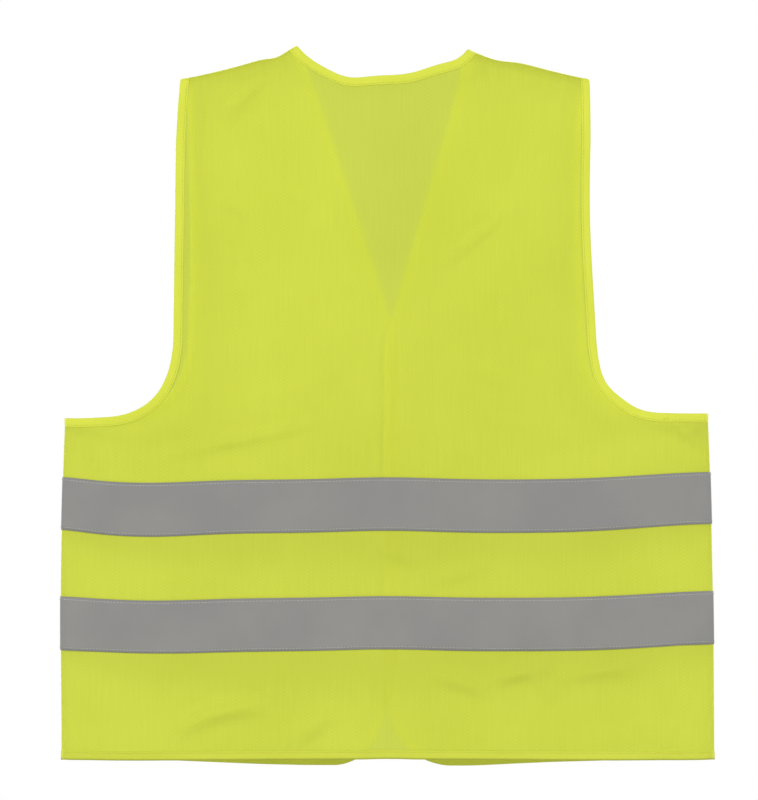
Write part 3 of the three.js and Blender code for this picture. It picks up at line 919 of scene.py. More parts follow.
def spun(name, dark, light):
    """Twisted thread, whose colour varies a little along it."""
    material, tree = new_material(name)
    place = object_place(tree)
    turns = noise_share(tree, place, 1 / YARN_TURN, 1.0)
    yarn = add_node(
        tree,
        "ShaderNodeBsdfPrincipled",
        {
            "Base Color": cloth_colour(tree, place, dark, light, 6 * MM),
            "Roughness": 0.6,
            "Specular IOR Level": 0.3,
            "Sheen Weight": 0.1,
            "Normal": raised(tree, turns, 0.5, 0.05 * MM),
        },
    )
    add_node(tree, "ShaderNodeOutputMaterial", {"Surface": yarn.outputs[0]})
    return material


# Body cloth: fluorescent warp-knitted polyester.
knit = fluorescent_warp_knit()
# Polyester bias tape at the neck, armholes and front edges; the back's hem has a darker copy, as painted
# shade.
bias_tape = woven("fluorescent_bias_binding", "#ced643", "#d3da48", 1.2 * MM, 0.75, 0.08 * MM)
hem_tape_painted_shade = woven("fluorescent_binding_painted_hem_shade", "#c1c93f", "#c7ce44", 1.2 * MM, 0.75, 0.08 * MM)
# Glass beads bonded to a grey cloth.
bead_tape = glass_bead_tape()
# The two halves of the fastener: moulded nylon, a little glossy, and brushed nylon pile.
hook_nylon = woven("moulded_nylon_hook_tape", "#c9d145", "#d0d74a", 1.6 * MM, 0.45, 0.1 * MM, 0.45, 0.0)
loop_nylon = woven("brushed_nylon_loop_tape", "#c3cb41", "#ced54b", 1.5 * MM, 0.95, 0.3 * MM, 0.1, 0.4)
# Satin ribbon of the care label.
satin = woven("white_satin_ribbon", "#ecece6", "#f4f4f0", 0.8 * MM, 0.4, 0.05 * MM, 0.4, 0.1)
# Spun polyester: yellow on the bindings, pale grey on the tapes.
yellow_thread = spun("fluorescent_spun_polyester_thread", "#b4bd39", "#c0c93f")
grey_thread = spun("pale_grey_spun_polyester_thread", "#a9a9a1", "#b8b8ae")
print(len(bpy.data.materials), "materials")

# %% [markdown]
# ## The three panels of cloth
# The back is one sheet. Each front is one sheet too, from its side fold to its edge, though the part folds
# it along a line.

# %% Panels
PANEL_STEP = {BACK: 3.4 * MM, FRONT: 2.6 * MM}  # the fronts get more points
FOLD_COLUMNS = (0.35 * MM, 1.3 * MM, 3.0 * MM)
SEAM_ROWS = (0.25 * MM, 0.9 * MM, 2.1 * MM, 4.0 * MM)
BODY = "body"


def front_name(side):
    return "left_front" if side == LEFT else "right_front"


def blend_front(piece):
    """Bakes a piece's transform into its mesh."""
    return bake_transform(piece)


def panel(name, outline, face, side):
    flat, triangles = flat_sheet(outline, PANEL_STEP[face], FOLD_COLUMNS, SEAM_ROWS)
    points, _ = lay(face, flat[:, 0], flat[:, 1], 0.0, side)
    order = (0, 1, 2) if face == BACK else (0, 2, 1)
    faces = [[t[k] for k in order] for t in triangles]
    cloth = add_mesh(name, points, faces, flat)
    cloth.data.materials.append(knit)
    solid_wall(cloth, CLOTH)
    return say(cloth)


back_cloth = panel("back_cloth", back_outline(), BACK, 0)
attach(back_cloth, BODY)
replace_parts(back_cloth, "back_panel")

front_cloths = {}
for side in (LEFT, RIGHT):
    name = front_name(side)
    cloth = panel(name + "_cloth", front_outline(side), FRONT, side)
    blend_front(cloth)
    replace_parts(cloth, name + "_side_panel", name + "_flap")
    front_cloths[side] = cloth

# %% [markdown]
# ## Edge binding
# A narrow woven tape is folded over every raw edge and sewn through. It could be a flat strip on each face,
# but a section like a thin U, swept along the edge and wrapped round it, also gives the rounded rim that
# catches the light. The section has an inner wall too, so that the cloth's edge lies in a real slot.

# %% Binding section: share of the width from the rim, reach past the rim, level, in mm
RIM = 0.62
SKIN = 0.72
SLOT = 0.3
BINDING_SECTION = (
    (1.0, 0, SKIN - 0.2),
    (0.96, 0, SKIN),
    (0.78, 0, SKIN - 0.2),
    (0.6, 0, SKIN + 0.05),
    (0.3, 0, SKIN + 0.08),
    (0.05, 0, SKIN),
    (0.0, 0.75 * RIM, 0.6 * SKIN),
    (0.0, RIM, 0.0),
    (0.0, 0.75 * RIM, -0.6 * SKIN),
    (0.05, 0, -SKIN),
    (0.3, 0, -SKIN - 0.08),
    (0.6, 0, -SKIN - 0.05),
    (0.78, 0, -SKIN + 0.2),
    (0.96, 0, -SKIN),
    (1.0, 0, -SKIN + 0.2),
    (1.0, 0, -SLOT),
    (0.03, 0, -SLOT),
    (0.0, 0.25 * RIM, 0.0),
    (0.03, 0, SLOT),
    (1.0, 0, SLOT),
)
BINDING_STEP = 3 * MM
SEAM_TURN = 14 * MM  # how far from a shoulder seam a binding has squared up with its own edge
PINCH = 0.08  # how far the slot is still open where a binding ends
END_STEPS = (0.3 * MM, 0.9 * MM, 1.8 * MM)


def with_close_start(path):
    """A path with extra points near its start, where it climbs over the shoulder seam."""
    toward = (path[1] - path[0]) / np.linalg.norm(path[1] - path[0])
    return np.vstack([path[:1], [path[0] + toward * step for step in END_STEPS], path[1:]])


def away_from(path, outward):
    """In the flat pattern, the unit direction away from the cloth along its edge. Where the edge ends on
    a shoulder, it turns to follow the seam, so that two bindings meet along it."""
    along = np.gradient(path, axis=0)
    along /= np.linalg.norm(along, axis=1)[:, None]
    away = outward * np.column_stack([along[:, 1], -along[:, 0]])
    run = run_along(path)
    for end, distance in ((0, run), (-1, run[-1] - run)):
        x, z = path[end]
        if abs(shoulder_line(x) - z) < 0.5 * MM:
            seam = np.array([MM, shoulder_line(x + MM) - shoulder_line(x)])
            seam *= np.sign(seam @ away[end]) / np.linalg.norm(seam)
            share = np.clip(1 - distance / SEAM_TURN, 0, 1)[:, None]
            away = away * (1 - share) + seam * share
            away /= np.linalg.norm(away, axis=1)[:, None]
    return away


def across_edge(path, outward, face, side):
    """Points and normals on an edge and a binding's width inside it, and that inner path."""
    inner = path - away_from(path, outward) * BINDING_WIDTH
    edge, edge_normal = lay(face, path[:, 0], path[:, 1], 0.0, side)
    rest, rest_normal = lay(face, inner[:, 0], inner[:, 1], 0.0, side)
    return edge, edge_normal, rest, rest_normal, inner


def binding_rings(path, outward, face, side):
    """Rings of the binding's section along a path, in space and on the pattern."""
    edge, edge_normal, rest, rest_normal, inner = across_edge(path, outward, face, side)
    out = edge - rest
    out /= np.linalg.norm(out, axis=1)[:, None]
    points, flat = [], []
    for share, reach, level in BINDING_SECTION:
        base = edge * (1 - share) + rest * share
        normal = edge_normal * (1 - share) + rest_normal * share
        levels = np.full(len(path), level)
        if abs(level) == SLOT:
            levels[[0, -1]] = level * PINCH
        points.append(base + out * reach * MM + normal * levels[:, None] * MM)
        flat.append(path * (1 - share) + inner * share)
    return np.array(points).transpose(1, 0, 2), np.array(flat).transpose(1, 0, 2)


def binding(name, parts, turn, cloth=bias_tape):
    """A binding over one or two paths end to end, each (path, outward, face, side); outward is +1 if the
    cloth lies to the left of the path's direction. The first of two paths is run backwards."""
    rings, flat = zip(*[binding_rings(*part) for part in parts])
    if len(parts) == 2:
        rings = (rings[0][:0:-1], rings[1])
        flat = (flat[0][:0:-1], flat[1])
    rings, flat = np.vstack(rings), np.vstack(flat)
    faces = tube_faces(len(rings), len(BINDING_SECTION), turn)
    made = add_mesh(name, rings.reshape(-1, 3), faces, flat.reshape(-1, 2))
    made.data.materials.append(cloth)
    return say(made)


# %% Bindings of the back, the armholes and the fronts
neck_path = spaced(mirrored(neck_edge()[::-1]), BINDING_STEP)
neck_path = with_close_start(with_close_start(neck_path)[::-1])[::-1]
neck_binding = binding("neck_binding", [(neck_path, 1, BACK, 0)], False)
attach(neck_binding, BODY)
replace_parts(neck_binding, "back_neck_binding")

hem_path = spaced([(HEM_HALF, -LENGTH), (-HEM_HALF, -LENGTH)], BINDING_STEP)
# the back's hem takes the darker copy of the binding, which is painted shade
hem_binding = binding("back_hem_edge_binding", [(hem_path, -1, BACK, 0)], True, hem_tape_painted_shade)
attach(hem_binding, BODY)
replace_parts(hem_binding, "back_hem_binding")

armhole_paths = {}
for side, word in ((LEFT, "left"), (RIGHT, "right")):
    parts = []
    for face, inset in ((FRONT, FRONT_ARMHOLE_INSET), (BACK, 0)):
        path = with_close_start(spaced(on_side(side, armhole_edge(inset)), BINDING_STEP))
        armhole_paths[side, face] = path
        parts.append((path, -side, face, side if face == FRONT else 0))
    made = binding(word + "_armhole_edge", parts, side == RIGHT)
    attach(made, BODY)
    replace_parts(made, word + "_armhole_binding_front", word + "_armhole_binding_back")

front_paths, front_bindings = {}, {}
for side in (LEFT, RIGHT):
    name = front_name(side)
    whole = joined(front_edge(side), front_hem()[::-1])
    path = with_close_start(spaced(on_side(side, whole), BINDING_STEP))
    front_paths[side] = path
    made = binding(name + "_edge", [(path, side, FRONT, side)], side == RIGHT)
    blend_front(made)
    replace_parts(made, name + "_edge_binding", name + "_hem_binding")
    front_bindings[side] = made

# %% [markdown]
# ## Shoulder seams
# The front and back are joined along the shoulder by one more length of narrow tape, laid over the turned
# edges. It is a strip that starts just behind the top of the shoulder, follows the turn and lies on the
# front. Its ends are caught under the bindings of the neck and the armhole.

# %% Shoulder seam tapes
SEAM_UNDER = 6 * MM  # from the ends of the seam to the ends of its tape
SEAM_REACH = 5.5 * MM  # how far the tape lies down the front
SEAM_LEVELS = (0.28 * MM, 0.62 * MM)
SEAM_SHARES = {BACK: (0.16, 0.08, 0.03), FRONT: (0.03, 0.12, 0.3, 0.6, 1.0)}


def seam_path(side):
    """The shoulder seam between the bindings at its two ends, which cover the tape's ends."""
    x = np.linspace(NECK_HALF + SEAM_UNDER, SHOULDER_HALF - SEAM_UNDER, 30)
    return on_side(side, spaced(np.column_stack([x, shoulder_line(x)]), BINDING_STEP))


def shoulder_tape(name, side):
    path = seam_path(side)
    across = [(face, SEAM_REACH * share) for face in (BACK, FRONT) for share in SEAM_SHARES[face]]
    rows, flat = [], []
    for level in SEAM_LEVELS:
        for face, down in across if level == SEAM_LEVELS[1] else across[::-1]:
            points, _ = lay(face, path[:, 0], path[:, 1] - down, level, side if face == FRONT else 0)
            rows.append(points)
            flat.append(np.column_stack([path[:, 0], path[:, 1] + face * down]))
    points = np.array(rows).transpose(1, 0, 2).reshape(-1, 3)
    flat = np.array(flat).transpose(1, 0, 2).reshape(-1, 2)
    made = add_mesh(name, points, tube_faces(len(path), len(rows), side == LEFT), flat)
    made.data.materials.append(bias_tape)
    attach(made, BODY)
    return say(made)


for side, word in ((LEFT, "left"), (RIGHT, "right")):
    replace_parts(shoulder_tape(word + "_shoulder_tape", side), word + "_shoulder_seam")

# %% [markdown]
# ## Reflective tapes
# Each tape is a band 50 mm wide that runs right round the vest and stops at the front edges. It is sewn on
# top of the cloth, so it takes every fold of the cloth under it.

# %% Tapes
TAPE_STEP = 2.6 * MM
TAPE_ROWS = 13
TAPE_CROWD = 0.35  # how much closer together the columns stand towards the tape's ends
TURN_SHARES = np.array([0.0012, 0.004, 0.009])  # extra columns where a tape goes round the side fold
TAPE_CLEAR = 0.3 * MM  # between a tape's end and the binding of the front edge


def tape_bands():
    """The name and the top and foot of each tape."""
    return (("upper", upper_high.z, upper_low.z), ("lower", lower_high.z, lower_low.z))


def tape(name, top, foot, face, side, columns):
    """A tape between a first and a last column of the pattern, given as functions of the height."""
    first, last = columns
    count = max(2, round(abs(last(top) - first(top)) / TAPE_STEP))
    even = np.linspace(0, 1, count + 1)
    shares = TAPE_CROWD * (0.5 - 0.5 * np.cos(math.pi * even)) + (1 - TAPE_CROWD) * even
    shares = np.unique(np.r_[shares, TURN_SHARES])
    if face == BACK:
        shares = np.unique(np.r_[shares, 1 - TURN_SHARES])
    flat = []
    for z in np.linspace(top, foot, TAPE_ROWS):
        flat += [(first(z) + (last(z) - first(z)) * share, z) for share in shares]
    flat = np.array(flat)
    points, _ = lay(face, flat[:, 0], flat[:, 1], TAPE_LEVEL + TAPE_THICK / 2, side)
    faces = grid_faces(TAPE_ROWS, len(shares))
    if (last(top) - first(top)) * face <= 0:
        faces = turned_over(faces)
    made = add_mesh(name, points, faces, flat)
    made.data.materials.append(bead_tape)
    solid_wall(made, TAPE_THICK)
    return say(made)


tape_ends = {}
for side in (LEFT, RIGHT):
    tape_ends[side] = side * CLOSURE_X - OVERLAP / 2 + BINDING_WIDTH + TAPE_CLEAR
back_tapes, front_tapes = [], {LEFT: [], RIGHT: []}
for word, top, foot in tape_bands():
    made = tape(word + "_back_tape", top, foot, BACK, 0, (half_width, lambda z: -half_width(z)))
    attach(made, BODY)
    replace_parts(made, word + "_tape_back")
    back_tapes.append(made)
    for side in (LEFT, RIGHT):
        columns = (
            lambda z, side=side: side * half_width(z),
            lambda z, side=side: side * tape_ends[side],
        )
        made = tape(f"{word}_{front_name(side)}_tape", top, foot, FRONT, side, columns)
        blend_front(made)
        base = word + ("_tape_left" if side == LEFT else "_tape_right")
        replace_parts(made, base + "_side", base + "_front")
        front_tapes[side].append(made)

# %% [markdown]
# ## Touch fastener
# The hook strip is sewn inside the left front and the loop strip outside the right. Each is a thin strip
# laid on its front. The loops are too fine to model one by one, so the strip carries them in its material.
# The hooks come further down, once Geometry Nodes are set up.

# %% Strips
STRIP_BASE = 0.35 * MM
STRIP_NEAR = 1.0 * MM


def strip(name, side, near, material):
    half = (strip_high.x - strip_low.x) / 2
    across = np.linspace(-half, half, 5) + CLOSURE_X
    down = np.linspace(strip_high.z, strip_low.z, 28)
    flat = np.array([(x, z) for z in down for x in across])
    count = len(across)
    outer, _ = lay(FRONT, flat[:, 0], flat[:, 1], near + STRIP_BASE, side)
    inner, _ = lay(FRONT, flat[:, 0], flat[:, 1], near, side)
    total = len(flat)
    faces = grid_faces(len(down), count) + turned_over(grid_faces(len(down), count, total))
    edge = list(range(count))
    edge += [j * count + count - 1 for j in range(1, len(down))]
    edge += [(len(down) - 1) * count + i for i in range(count - 2, -1, -1)]
    edge += [j * count for j in range(len(down) - 2, 0, -1)]
    for a, b in zip(edge, edge[1:] + edge[:1]):
        faces.append((a, b, total + b, total + a))
    made = add_mesh(name, np.vstack([outer, inner]), faces, np.vstack([flat, flat]), smooth=False)
    made.data.materials.append(material)
    return made


hook_base = strip("hook_fastener", LEFT, -STRIP_NEAR - STRIP_BASE, hook_nylon)
loop_base = strip("loop_fastener", RIGHT, STRIP_NEAR, loop_nylon)
for made, node_name, slot_name, side in (
    (hook_base, "hook_strip", "hook_tape", LEFT),
    (loop_base, "loop_strip", "loop_tape", RIGHT),
):
    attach(made, front_name(side))
    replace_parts(made, node_name)
    say(made)

# %% [markdown]
# ## Care label
# A blank satin ribbon, folded in two and caught in the side by its top edge, so its foot curls away from
# the cloth. It hangs inside the vest on the wearer's left.

# %% Label
label_low, label_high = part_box("care_label")
LABEL_CURL = 2.2 * MM
LABEL_WAVE = 0.3 * MM
LABEL_THICK = 0.3 * MM
LABEL_LEVEL = -0.6 * MM


def care_label():
    across = np.linspace(label_low.x, label_high.x, 9)
    down = np.linspace(label_high.z, label_low.z, 14)
    flat = np.array([(x, z) for z in down for x in across])
    share = (label_high.z - flat[:, 1]) / (label_high.z - label_low.z)
    wave = LABEL_WAVE * np.sin((flat[:, 0] - label_low.x) * 160) * share
    level = LABEL_LEVEL - LABEL_CURL * share**2 + wave
    points, _ = lay(FRONT, flat[:, 0], flat[:, 1], level, LEFT)
    made = add_mesh("sewn_label", points, grid_faces(len(down), len(across)), flat)
    made.data.materials.append(satin)
    solid_wall(made, LABEL_THICK)
    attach(made, BODY)
    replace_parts(made, "care_label")
    return say(made)


label = care_label()

# %% [markdown]
# ## Stitches
# Lockstitch shows on the face as a row of short, slightly sunken grains of thread. There are thousands, so
# Geometry Nodes lay them: a line on the cloth becomes a curve, is spaced out by the stitch pitch, and gets
# one small grain of few faces at each point, turned to the curve, with a little seeded unevenness. The real
# pitch is about 3 mm, and is kept. The hooks of the fastener are laid out in much the same way.

# %% Trees that lay small things out
def layout_tree(name, numbers, material):
    """A Geometry Nodes tree that takes geometry, some numbers, a seed and a material."""
    tree = bpy.data.node_groups.new(name, "GeometryNodeTree")
    sockets = [("Geometry", "Geometry")] + [(number, "Float") for number in numbers]
    for socket, kind in sockets + [("Seed", "Int"), (material, "Material")]:
        tree.interface.new_socket(socket, in_out="INPUT", socket_type="NodeSocket" + kind)
    tree.interface.new_socket("Geometry", in_out="OUTPUT", socket_type="NodeSocketGeometry")
    return tree, add_node(tree, "NodeGroupInput").outputs


def laid_out(tree, points, shape, turned, material, **more):
    """Sets a shape on each point, turned so, and ends the tree with real meshes in their material."""
    inputs = {"Points": points, "Instance": shape, "Rotation": turned, **more}
    laid = add_node(tree, "GeometryNodeInstanceOnPoints", inputs)
    real = add_node(tree, "GeometryNodeRealizeInstances", {"Geometry": laid.outputs[0]})
    inputs = {"Geometry": real.outputs[0], "Material": material}
    dressed = add_node(tree, "GeometryNodeSetMaterial", inputs)
    add_node(tree, "NodeGroupOutput", {"Geometry": dressed.outputs[0]})
    return tree


def pointing(tree, direction):
    """A rotation that turns the Z axis of a shape along a direction."""
    inputs = {"Vector": direction}
    return add_node(tree, "FunctionNodeAlignRotationToVector", inputs, axis="Z").outputs[0]


def random_number(tree, least, most, seed):
    inputs = {"Min": least, "Max": most, "Seed": seed}
    return add_node(tree, "FunctionNodeRandomValue", inputs, data_type="FLOAT").outputs[1]


# %% The stitch tree
STITCH_PITCH = 3.2 * MM
STITCH_LENGTH = 2.5 * MM
THREAD_WIDTH = 0.55 * MM
STITCH_UNEVEN = 0.12


def stitch_tree():
    numbers = ("Pitch", "Stitch Length", "Thread Width", "Unevenness")
    tree, given = layout_tree("stitch_rows", numbers, "Thread")
    line = add_node(tree, "GeometryNodeMeshToCurve", {"Mesh": given["Geometry"]})
    spacing = {"Curve": line.outputs[0], "Length": given["Pitch"]}
    spots = add_node(tree, "GeometryNodeResampleCurve", spacing, mode="LENGTH")
    ball = {"Segments": 6, "Rings": 4, "Radius": 0.5}
    grain = add_node(tree, "GeometryNodeMeshUVSphere", ball)
    smooth = add_node(tree, "GeometryNodeSetShadeSmooth", {"Geometry": grain.outputs[0]})
    turned = pointing(tree, add_node(tree, "GeometryNodeInputTangent").outputs[0])
    jitter = random_number(tree, -1.0, 1.0, given["Seed"])
    longer = maths(tree, "ADD", maths(tree, "MULTIPLY", jitter, given["Unevenness"]), 1.0)
    length = maths(tree, "MULTIPLY", given["Stitch Length"], longer)
    sides = {"X": given["Thread Width"], "Y": given["Thread Width"], "Z": length}
    size = add_node(tree, "ShaderNodeCombineXYZ", sides).outputs[0]
    shape = smooth.outputs[0]
    return laid_out(tree, spots.outputs[0], shape, turned, given["Thread"], Scale=size)


STITCHES = stitch_tree()


def run_modifier(carrier, tree, values, name):
    """Runs a node tree on a mesh and gives back its result as a plain mesh object."""
    modifier = carrier.modifiers.new("nodes", "NODES")
    modifier.node_group = tree
    for item in tree.interface.items_tree:
        if item.in_out == "INPUT" and item.name in values:
            modifier[item.identifier] = values[item.name]
    bpy.context.view_layer.update()
    shown = carrier.evaluated_get(bpy.context.evaluated_depsgraph_get())
    mesh = bpy.data.meshes.new_from_object(shown)
    mesh.name = name
    bpy.data.objects.remove(carrier)
    made = bpy.data.objects.new(name, mesh)
    bpy.context.scene.collection.objects.link(made)
    return made


def stitches(name, rows, thread, seed):
    """Rows of stitches; each row is a line of points in space."""
    points, edges = [], []
    for row in rows:
        first = len(points)
        points += [tuple(p) for p in row]
        edges += [(first + k, first + k + 1) for k in range(len(row) - 1)]
    mesh = bpy.data.meshes.new(name + "_line")
    mesh.from_pydata(points, edges, [])
    carrier = bpy.data.objects.new(name + "_line", mesh)
    bpy.context.scene.collection.objects.link(carrier)
    values = {
        "Pitch": STITCH_PITCH,
        "Stitch Length": STITCH_LENGTH,
        "Thread Width": THREAD_WIDTH,
        "Unevenness": STITCH_UNEVEN,
        "Seed": seed,
        "Thread": thread,
    }
    made = run_modifier(carrier, STITCHES, values, name)
    return say(made)


# %% [markdown]
# ## Hooks
# The hook strip carries some hundreds of bent nylon hooks, each about a millimetre tall. One hook is a
# short thread swept along a curve. Geometry Nodes set it on a grid over the strip, upright on the strip's
# face and turned a little at random. Real hooks are about 1.2 mm apart; they are 1.7 mm apart here.

# %% The hook tree
HOOK_PITCH = 1.7 * MM
HOOK_TALL = 0.8 * MM
HOOK_WIRE = 0.11 * MM
HOOK_LEAN = 0.3  # most that a hook is turned about its strip's face, in radians


def hook_tree():
    tree, given = layout_tree("hook_grid", ("Height", "Wire Radius", "Turn"), "Nylon")
    bend = {
        "Resolution": 5,
        "Start": (0, 0, 0),
        "Start Handle": (-0.1, 0, 1.0),
        "End Handle": (0.5, 0, 1.4),
        "End": (0.45, 0, 0.6),
    }
    curve = add_node(tree, "GeometryNodeCurvePrimitiveBezierSegment", bend).outputs[0]
    tall = add_node(tree, "ShaderNodeCombineXYZ", {k: given["Height"] for k in "XYZ"}).outputs[0]
    sized = add_node(tree, "GeometryNodeTransform", {"Geometry": curve, "Scale": tall}).outputs[0]
    circle = {"Resolution": 5, "Radius": given["Wire Radius"]}
    wire = add_node(tree, "GeometryNodeCurvePrimitiveCircle", circle).outputs[0]
    sweep = {"Curve": sized, "Profile Curve": wire, "Fill Caps": True}
    hook = add_node(tree, "GeometryNodeCurveToMesh", sweep).outputs[0]
    upright = pointing(tree, add_node(tree, "GeometryNodeInputNormal").outputs[0])
    least = maths(tree, "MULTIPLY", given["Turn"], -1.0)
    turn = random_number(tree, least, given["Turn"], given["Seed"])
    about = add_node(tree, "ShaderNodeCombineXYZ", {"Z": turn}).outputs[0]
    spin = add_node(tree, "FunctionNodeEulerToRotation", {0: about}).outputs[0]
    turns = {0: upright, 1: spin}
    leaning = add_node(tree, "FunctionNodeRotateRotation", turns, rotation_space="LOCAL").outputs[0]
    return laid_out(tree, given["Geometry"], hook, leaning, given["Nylon"])


# %% Hooks on the left front's strip
def hook_field():
    low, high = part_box("hook_strip")
    margin = HOOK_PITCH / 2
    across = np.arange(low.x + margin, high.x - margin / 2, HOOK_PITCH)
    down = np.arange(strip_high.z - margin, strip_low.z + margin / 2, -HOOK_PITCH)
    flat = np.array([(x, z) for z in down for x in across])
    points, _ = lay(FRONT, flat[:, 0], flat[:, 1], -STRIP_NEAR - STRIP_BASE, LEFT)
    carrier = add_mesh("hook_grid", points, grid_faces(len(down), len(across)), flat)
    values = {
        "Height": HOOK_TALL,
        "Wire Radius": HOOK_WIRE,
        "Turn": HOOK_LEAN,
        "Seed": 8,
        "Nylon": hook_nylon,
    }
    made = run_modifier(carrier, hook_tree(), values, "nylon_hooks")
    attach(made, front_name(LEFT))
    print(len(flat), "hooks")
    return say(made)


hook_field()

# %% Stitch rows on bindings and tapes
BINDING_ROW = 0.78  # share of the binding's width from its rim to its stitches
STITCH_SUNK = 0.16 * MM  # how far the rows lie below the binding's highest level
BINDING_TOP = SKIN * MM - STITCH_SUNK
TAPE_TOP = TAPE_LEVEL + TAPE_THICK + 0.02 * MM
TAPE_ROW_POINTS = 160
TAPE_ROW = 2.6 * MM  # tape's edge to its stitches
ROW_END = 3.5 * MM  # how far from a corner a row of stitches stops


def trimmed(row):
    """A row without its ends, which would stick out of the edge there."""
    run = run_along(row)
    return row[(run > ROW_END) & (run < run[-1] - ROW_END)]


def rows_on_binding(path, outward, face, side=0):
    """A row on each face of a binding."""
    edge, edge_normal, rest, rest_normal, _ = across_edge(path, outward, face, side)
    base = edge * (1 - BINDING_ROW) + rest * BINDING_ROW
    normal = edge_normal * (1 - BINDING_ROW) + rest_normal * BINDING_ROW
    return [trimmed(base + normal * BINDING_TOP), trimmed(base - normal * BINDING_TOP)]


def rows_on_tape(top, foot, face, side, first, last):
    rows = []
    for z in (top - TAPE_ROW, foot + TAPE_ROW):
        x = np.linspace(first(z), last(z), TAPE_ROW_POINTS)
        rows.append(lay(face, x, np.full(len(x), z), TAPE_TOP, side)[0])
    return rows


armhole_rows = []
for (side, face), path in armhole_paths.items():
    armhole_rows += rows_on_binding(path, -side, face, side if face == FRONT else 0)
armhole_stitches = stitches("armhole_stitches", armhole_rows, yellow_thread, 1)
edge_rows = rows_on_binding(neck_path, 1, BACK) + rows_on_binding(hem_path, -1, BACK)
neck_and_hem_stitches = stitches("neck_and_hem_stitches", edge_rows, yellow_thread, 2)
shoulder_rows = []
for side in (LEFT, RIGHT):
    path = seam_path(side)
    down = path[:, 1] - 0.8 * SEAM_REACH
    shoulder_rows.append(lay(FRONT, path[:, 0], down, SEAM_LEVELS[1], side)[0])
shoulder_stitches = stitches("shoulder_stitches", shoulder_rows, yellow_thread, 3)
tape_rows = []
for _, top, foot in tape_bands():
    tape_rows += rows_on_tape(top, foot, BACK, 0, half_width, lambda z: -half_width(z))
back_tape_stitches = stitches("back_tape_stitches", tape_rows, grey_thread, 4)
for piece in (armhole_stitches, neck_and_hem_stitches, shoulder_stitches, back_tape_stitches):
    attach(piece, BODY)

for side in (LEFT, RIGHT):
    name = front_name(side)
    rows = rows_on_binding(front_paths[side], side, FRONT, side)
    edge_piece = stitches(name + "_edge_stitches", rows, yellow_thread, 5)
    rows = []
    for _, top, foot in tape_bands():
        first, last = (lambda z: side * half_width(z)), (lambda z: side * tape_ends[side])
        rows += rows_on_tape(top, foot, FRONT, side, first, last)
    tape_piece = stitches(name + "_tape_stitches", rows, grey_thread, 6)
    for piece in (edge_piece, tape_piece):
        blend_front(piece)

# %% [markdown]
# ## The sheets are gathered in a list: the three panels of cloth, the tapes and the label.
# Each sheet is declared with the size that it is cut to: the three panels of cloth and the tapes.

# %% The list of sheets
for side in (LEFT, RIGHT):
    outline = front_outline(side)
for side in (LEFT, RIGHT):
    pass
declared = [back_cloth, *front_cloths.values(), *back_tapes, *front_tapes[LEFT], *front_tapes[RIGHT], label]
print(len(declared), "sheets declared")

# %% [markdown]
# ## Floor, light and camera
# A pale floor lies well below the hanging vest. Two large soft lamps light the back and two the front,
# and a dim even sky fills the shadows. Sky and floor are pale where they are seen directly. Through the
# holes of the knit both look dim and a little green, as what lies behind such cloth does in its shade.

# %% Floor
FLOOR_BELOW = 0.68  # from the hem to the floor
FLOOR_HALF = 4.0
FLOOR_FADE = (2.0, 3.9)  # distances between which the floor turns as bright as the sky
DIM_ROOM = "#83a155"


def behind_cloth(tree):
    """1 where a ray has passed through cloth on its way, otherwise 0."""
    depth = add_node(tree, "ShaderNodeLightPath").outputs["Transparent Depth"]
    return maths(tree, "GREATER_THAN", depth, 0.5)


def mixed_shader(tree, share, first, second):
    inputs = {0: share, 1: first.outputs[0], 2: second.outputs[0]}
    return add_node(tree, "ShaderNodeMixShader", inputs)


def floor_material():
    material, tree = new_material("painted_pale_floor")
    place = object_place(tree)
    away = add_node(tree, "ShaderNodeVectorMath", {0: place}, operation="LENGTH").outputs["Value"]
    colour = cloth_colour(tree, place, "#eeeeec", "#f1f1ef", 0.5)
    paint = add_node(tree, "ShaderNodeBsdfPrincipled", {"Base Color": colour, "Roughness": 0.9})
    glow = add_node(tree, "ShaderNodeEmission", {"Strength": 1.0})
    open_floor = mixed_shader(tree, ranged(tree, away, *FLOOR_FADE, 0.0, 1.0), paint, glow)
    dim = add_node(tree, "ShaderNodeEmission", {"Color": hex_colour(DIM_ROOM)})
    seen = mixed_shader(tree, behind_cloth(tree), open_floor, dim)
    add_node(tree, "ShaderNodeOutputMaterial", {"Surface": seen.outputs[0]})
    return material


floor_z = cad_low.z - FLOOR_BELOW
turns = np.linspace(0, 2 * math.pi, 96, endpoint=False)
rim = [(FLOOR_HALF * math.cos(a), FLOOR_HALF * math.sin(a), floor_z) for a in turns]
floor = add_mesh("floor", rim, [range(len(rim))], smooth=False)
floor.data.materials.append(floor_material())

# %% Lamps and sky
centre = (cad_low + cad_high) / 2


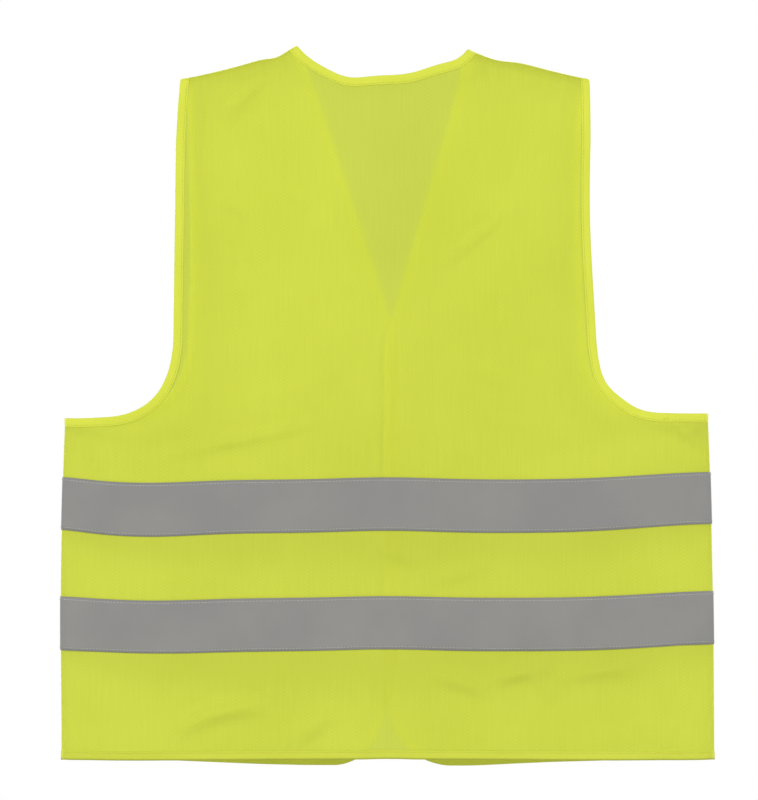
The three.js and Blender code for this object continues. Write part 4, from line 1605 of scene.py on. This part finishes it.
def lamp(name, place, watts, size):
    data = bpy.data.lights.new(name, "AREA")
    data.shape = "DISK"
    data.size = size
    data.energy = watts
    made = bpy.data.objects.new(name, data)
    made.location = centre + Vector(place)
    made.rotation_euler = (centre - made.location).to_track_quat("-Z", "Y").to_euler()
    made.visible_camera = False
    bpy.context.scene.collection.objects.link(made)


KEY_WATTS = 209
SIDE_WATTS = 152
lamp("key_behind", (-4.2, -3.2, 3.2), KEY_WATTS, 1.8)
lamp("side_behind", (4.2, -3.4, 2.2), SIDE_WATTS, 2.2)
lamp("key_before", (4.2, 3.2, 3.2), KEY_WATTS, 1.8)
lamp("side_before", (-4.2, 3.4, 2.2), SIDE_WATTS, 2.2)

SKY_FILL = 0.36


def studio_sky():
    """White where it is seen, SKY_FILL as a light, and dim where it is seen through cloth."""
    sky = bpy.data.worlds.new("studio")
    sky.use_nodes = True
    tree = sky.node_tree
    tree.nodes.clear()
    seen = add_node(tree, "ShaderNodeLightPath").outputs["Is Camera Ray"]
    either = {"Factor": seen, "A": SKY_FILL, "B": 1.0}
    strength = add_node(tree, "ShaderNodeMix", either, data_type="FLOAT").outputs[0]
    white = {"Color": (1, 1, 1, 1), "Strength": strength}
    open_sky = add_node(tree, "ShaderNodeBackground", white)
    dim_sky = add_node(tree, "ShaderNodeBackground", {"Color": hex_colour(DIM_ROOM)})
    mixed = mixed_shader(tree, behind_cloth(tree), open_sky, dim_sky)
    add_node(tree, "ShaderNodeOutputWorld", {"Surface": mixed.outputs[0]})
    return sky


bpy.context.scene.world = studio_sky()

# %% Camera: level, square to the back, far enough away that the vest hardly foreshortens
CAMERA_AWAY = 3.0
FRAME_HEIGHT = 0.756  # what the view takes in at the vest
VIEW_X = -7.1 * MM
VIEW_Z = -333.6 * MM
camera_data = bpy.data.cameras.new("camera")
camera_data.sensor_width = 36
camera_data.lens = camera_data.sensor_width * CAMERA_AWAY / FRAME_HEIGHT
camera = bpy.data.objects.new("camera", camera_data)
camera.location = (VIEW_X, -CAMERA_AWAY, VIEW_Z)
camera.rotation_euler = (math.pi / 2, 0, 0)
bpy.context.scene.collection.objects.link(camera)
bpy.context.scene.camera = camera
bpy.context.scene.view_settings.view_transform = "Standard"
bpy.context.scene.view_settings.look = "None"
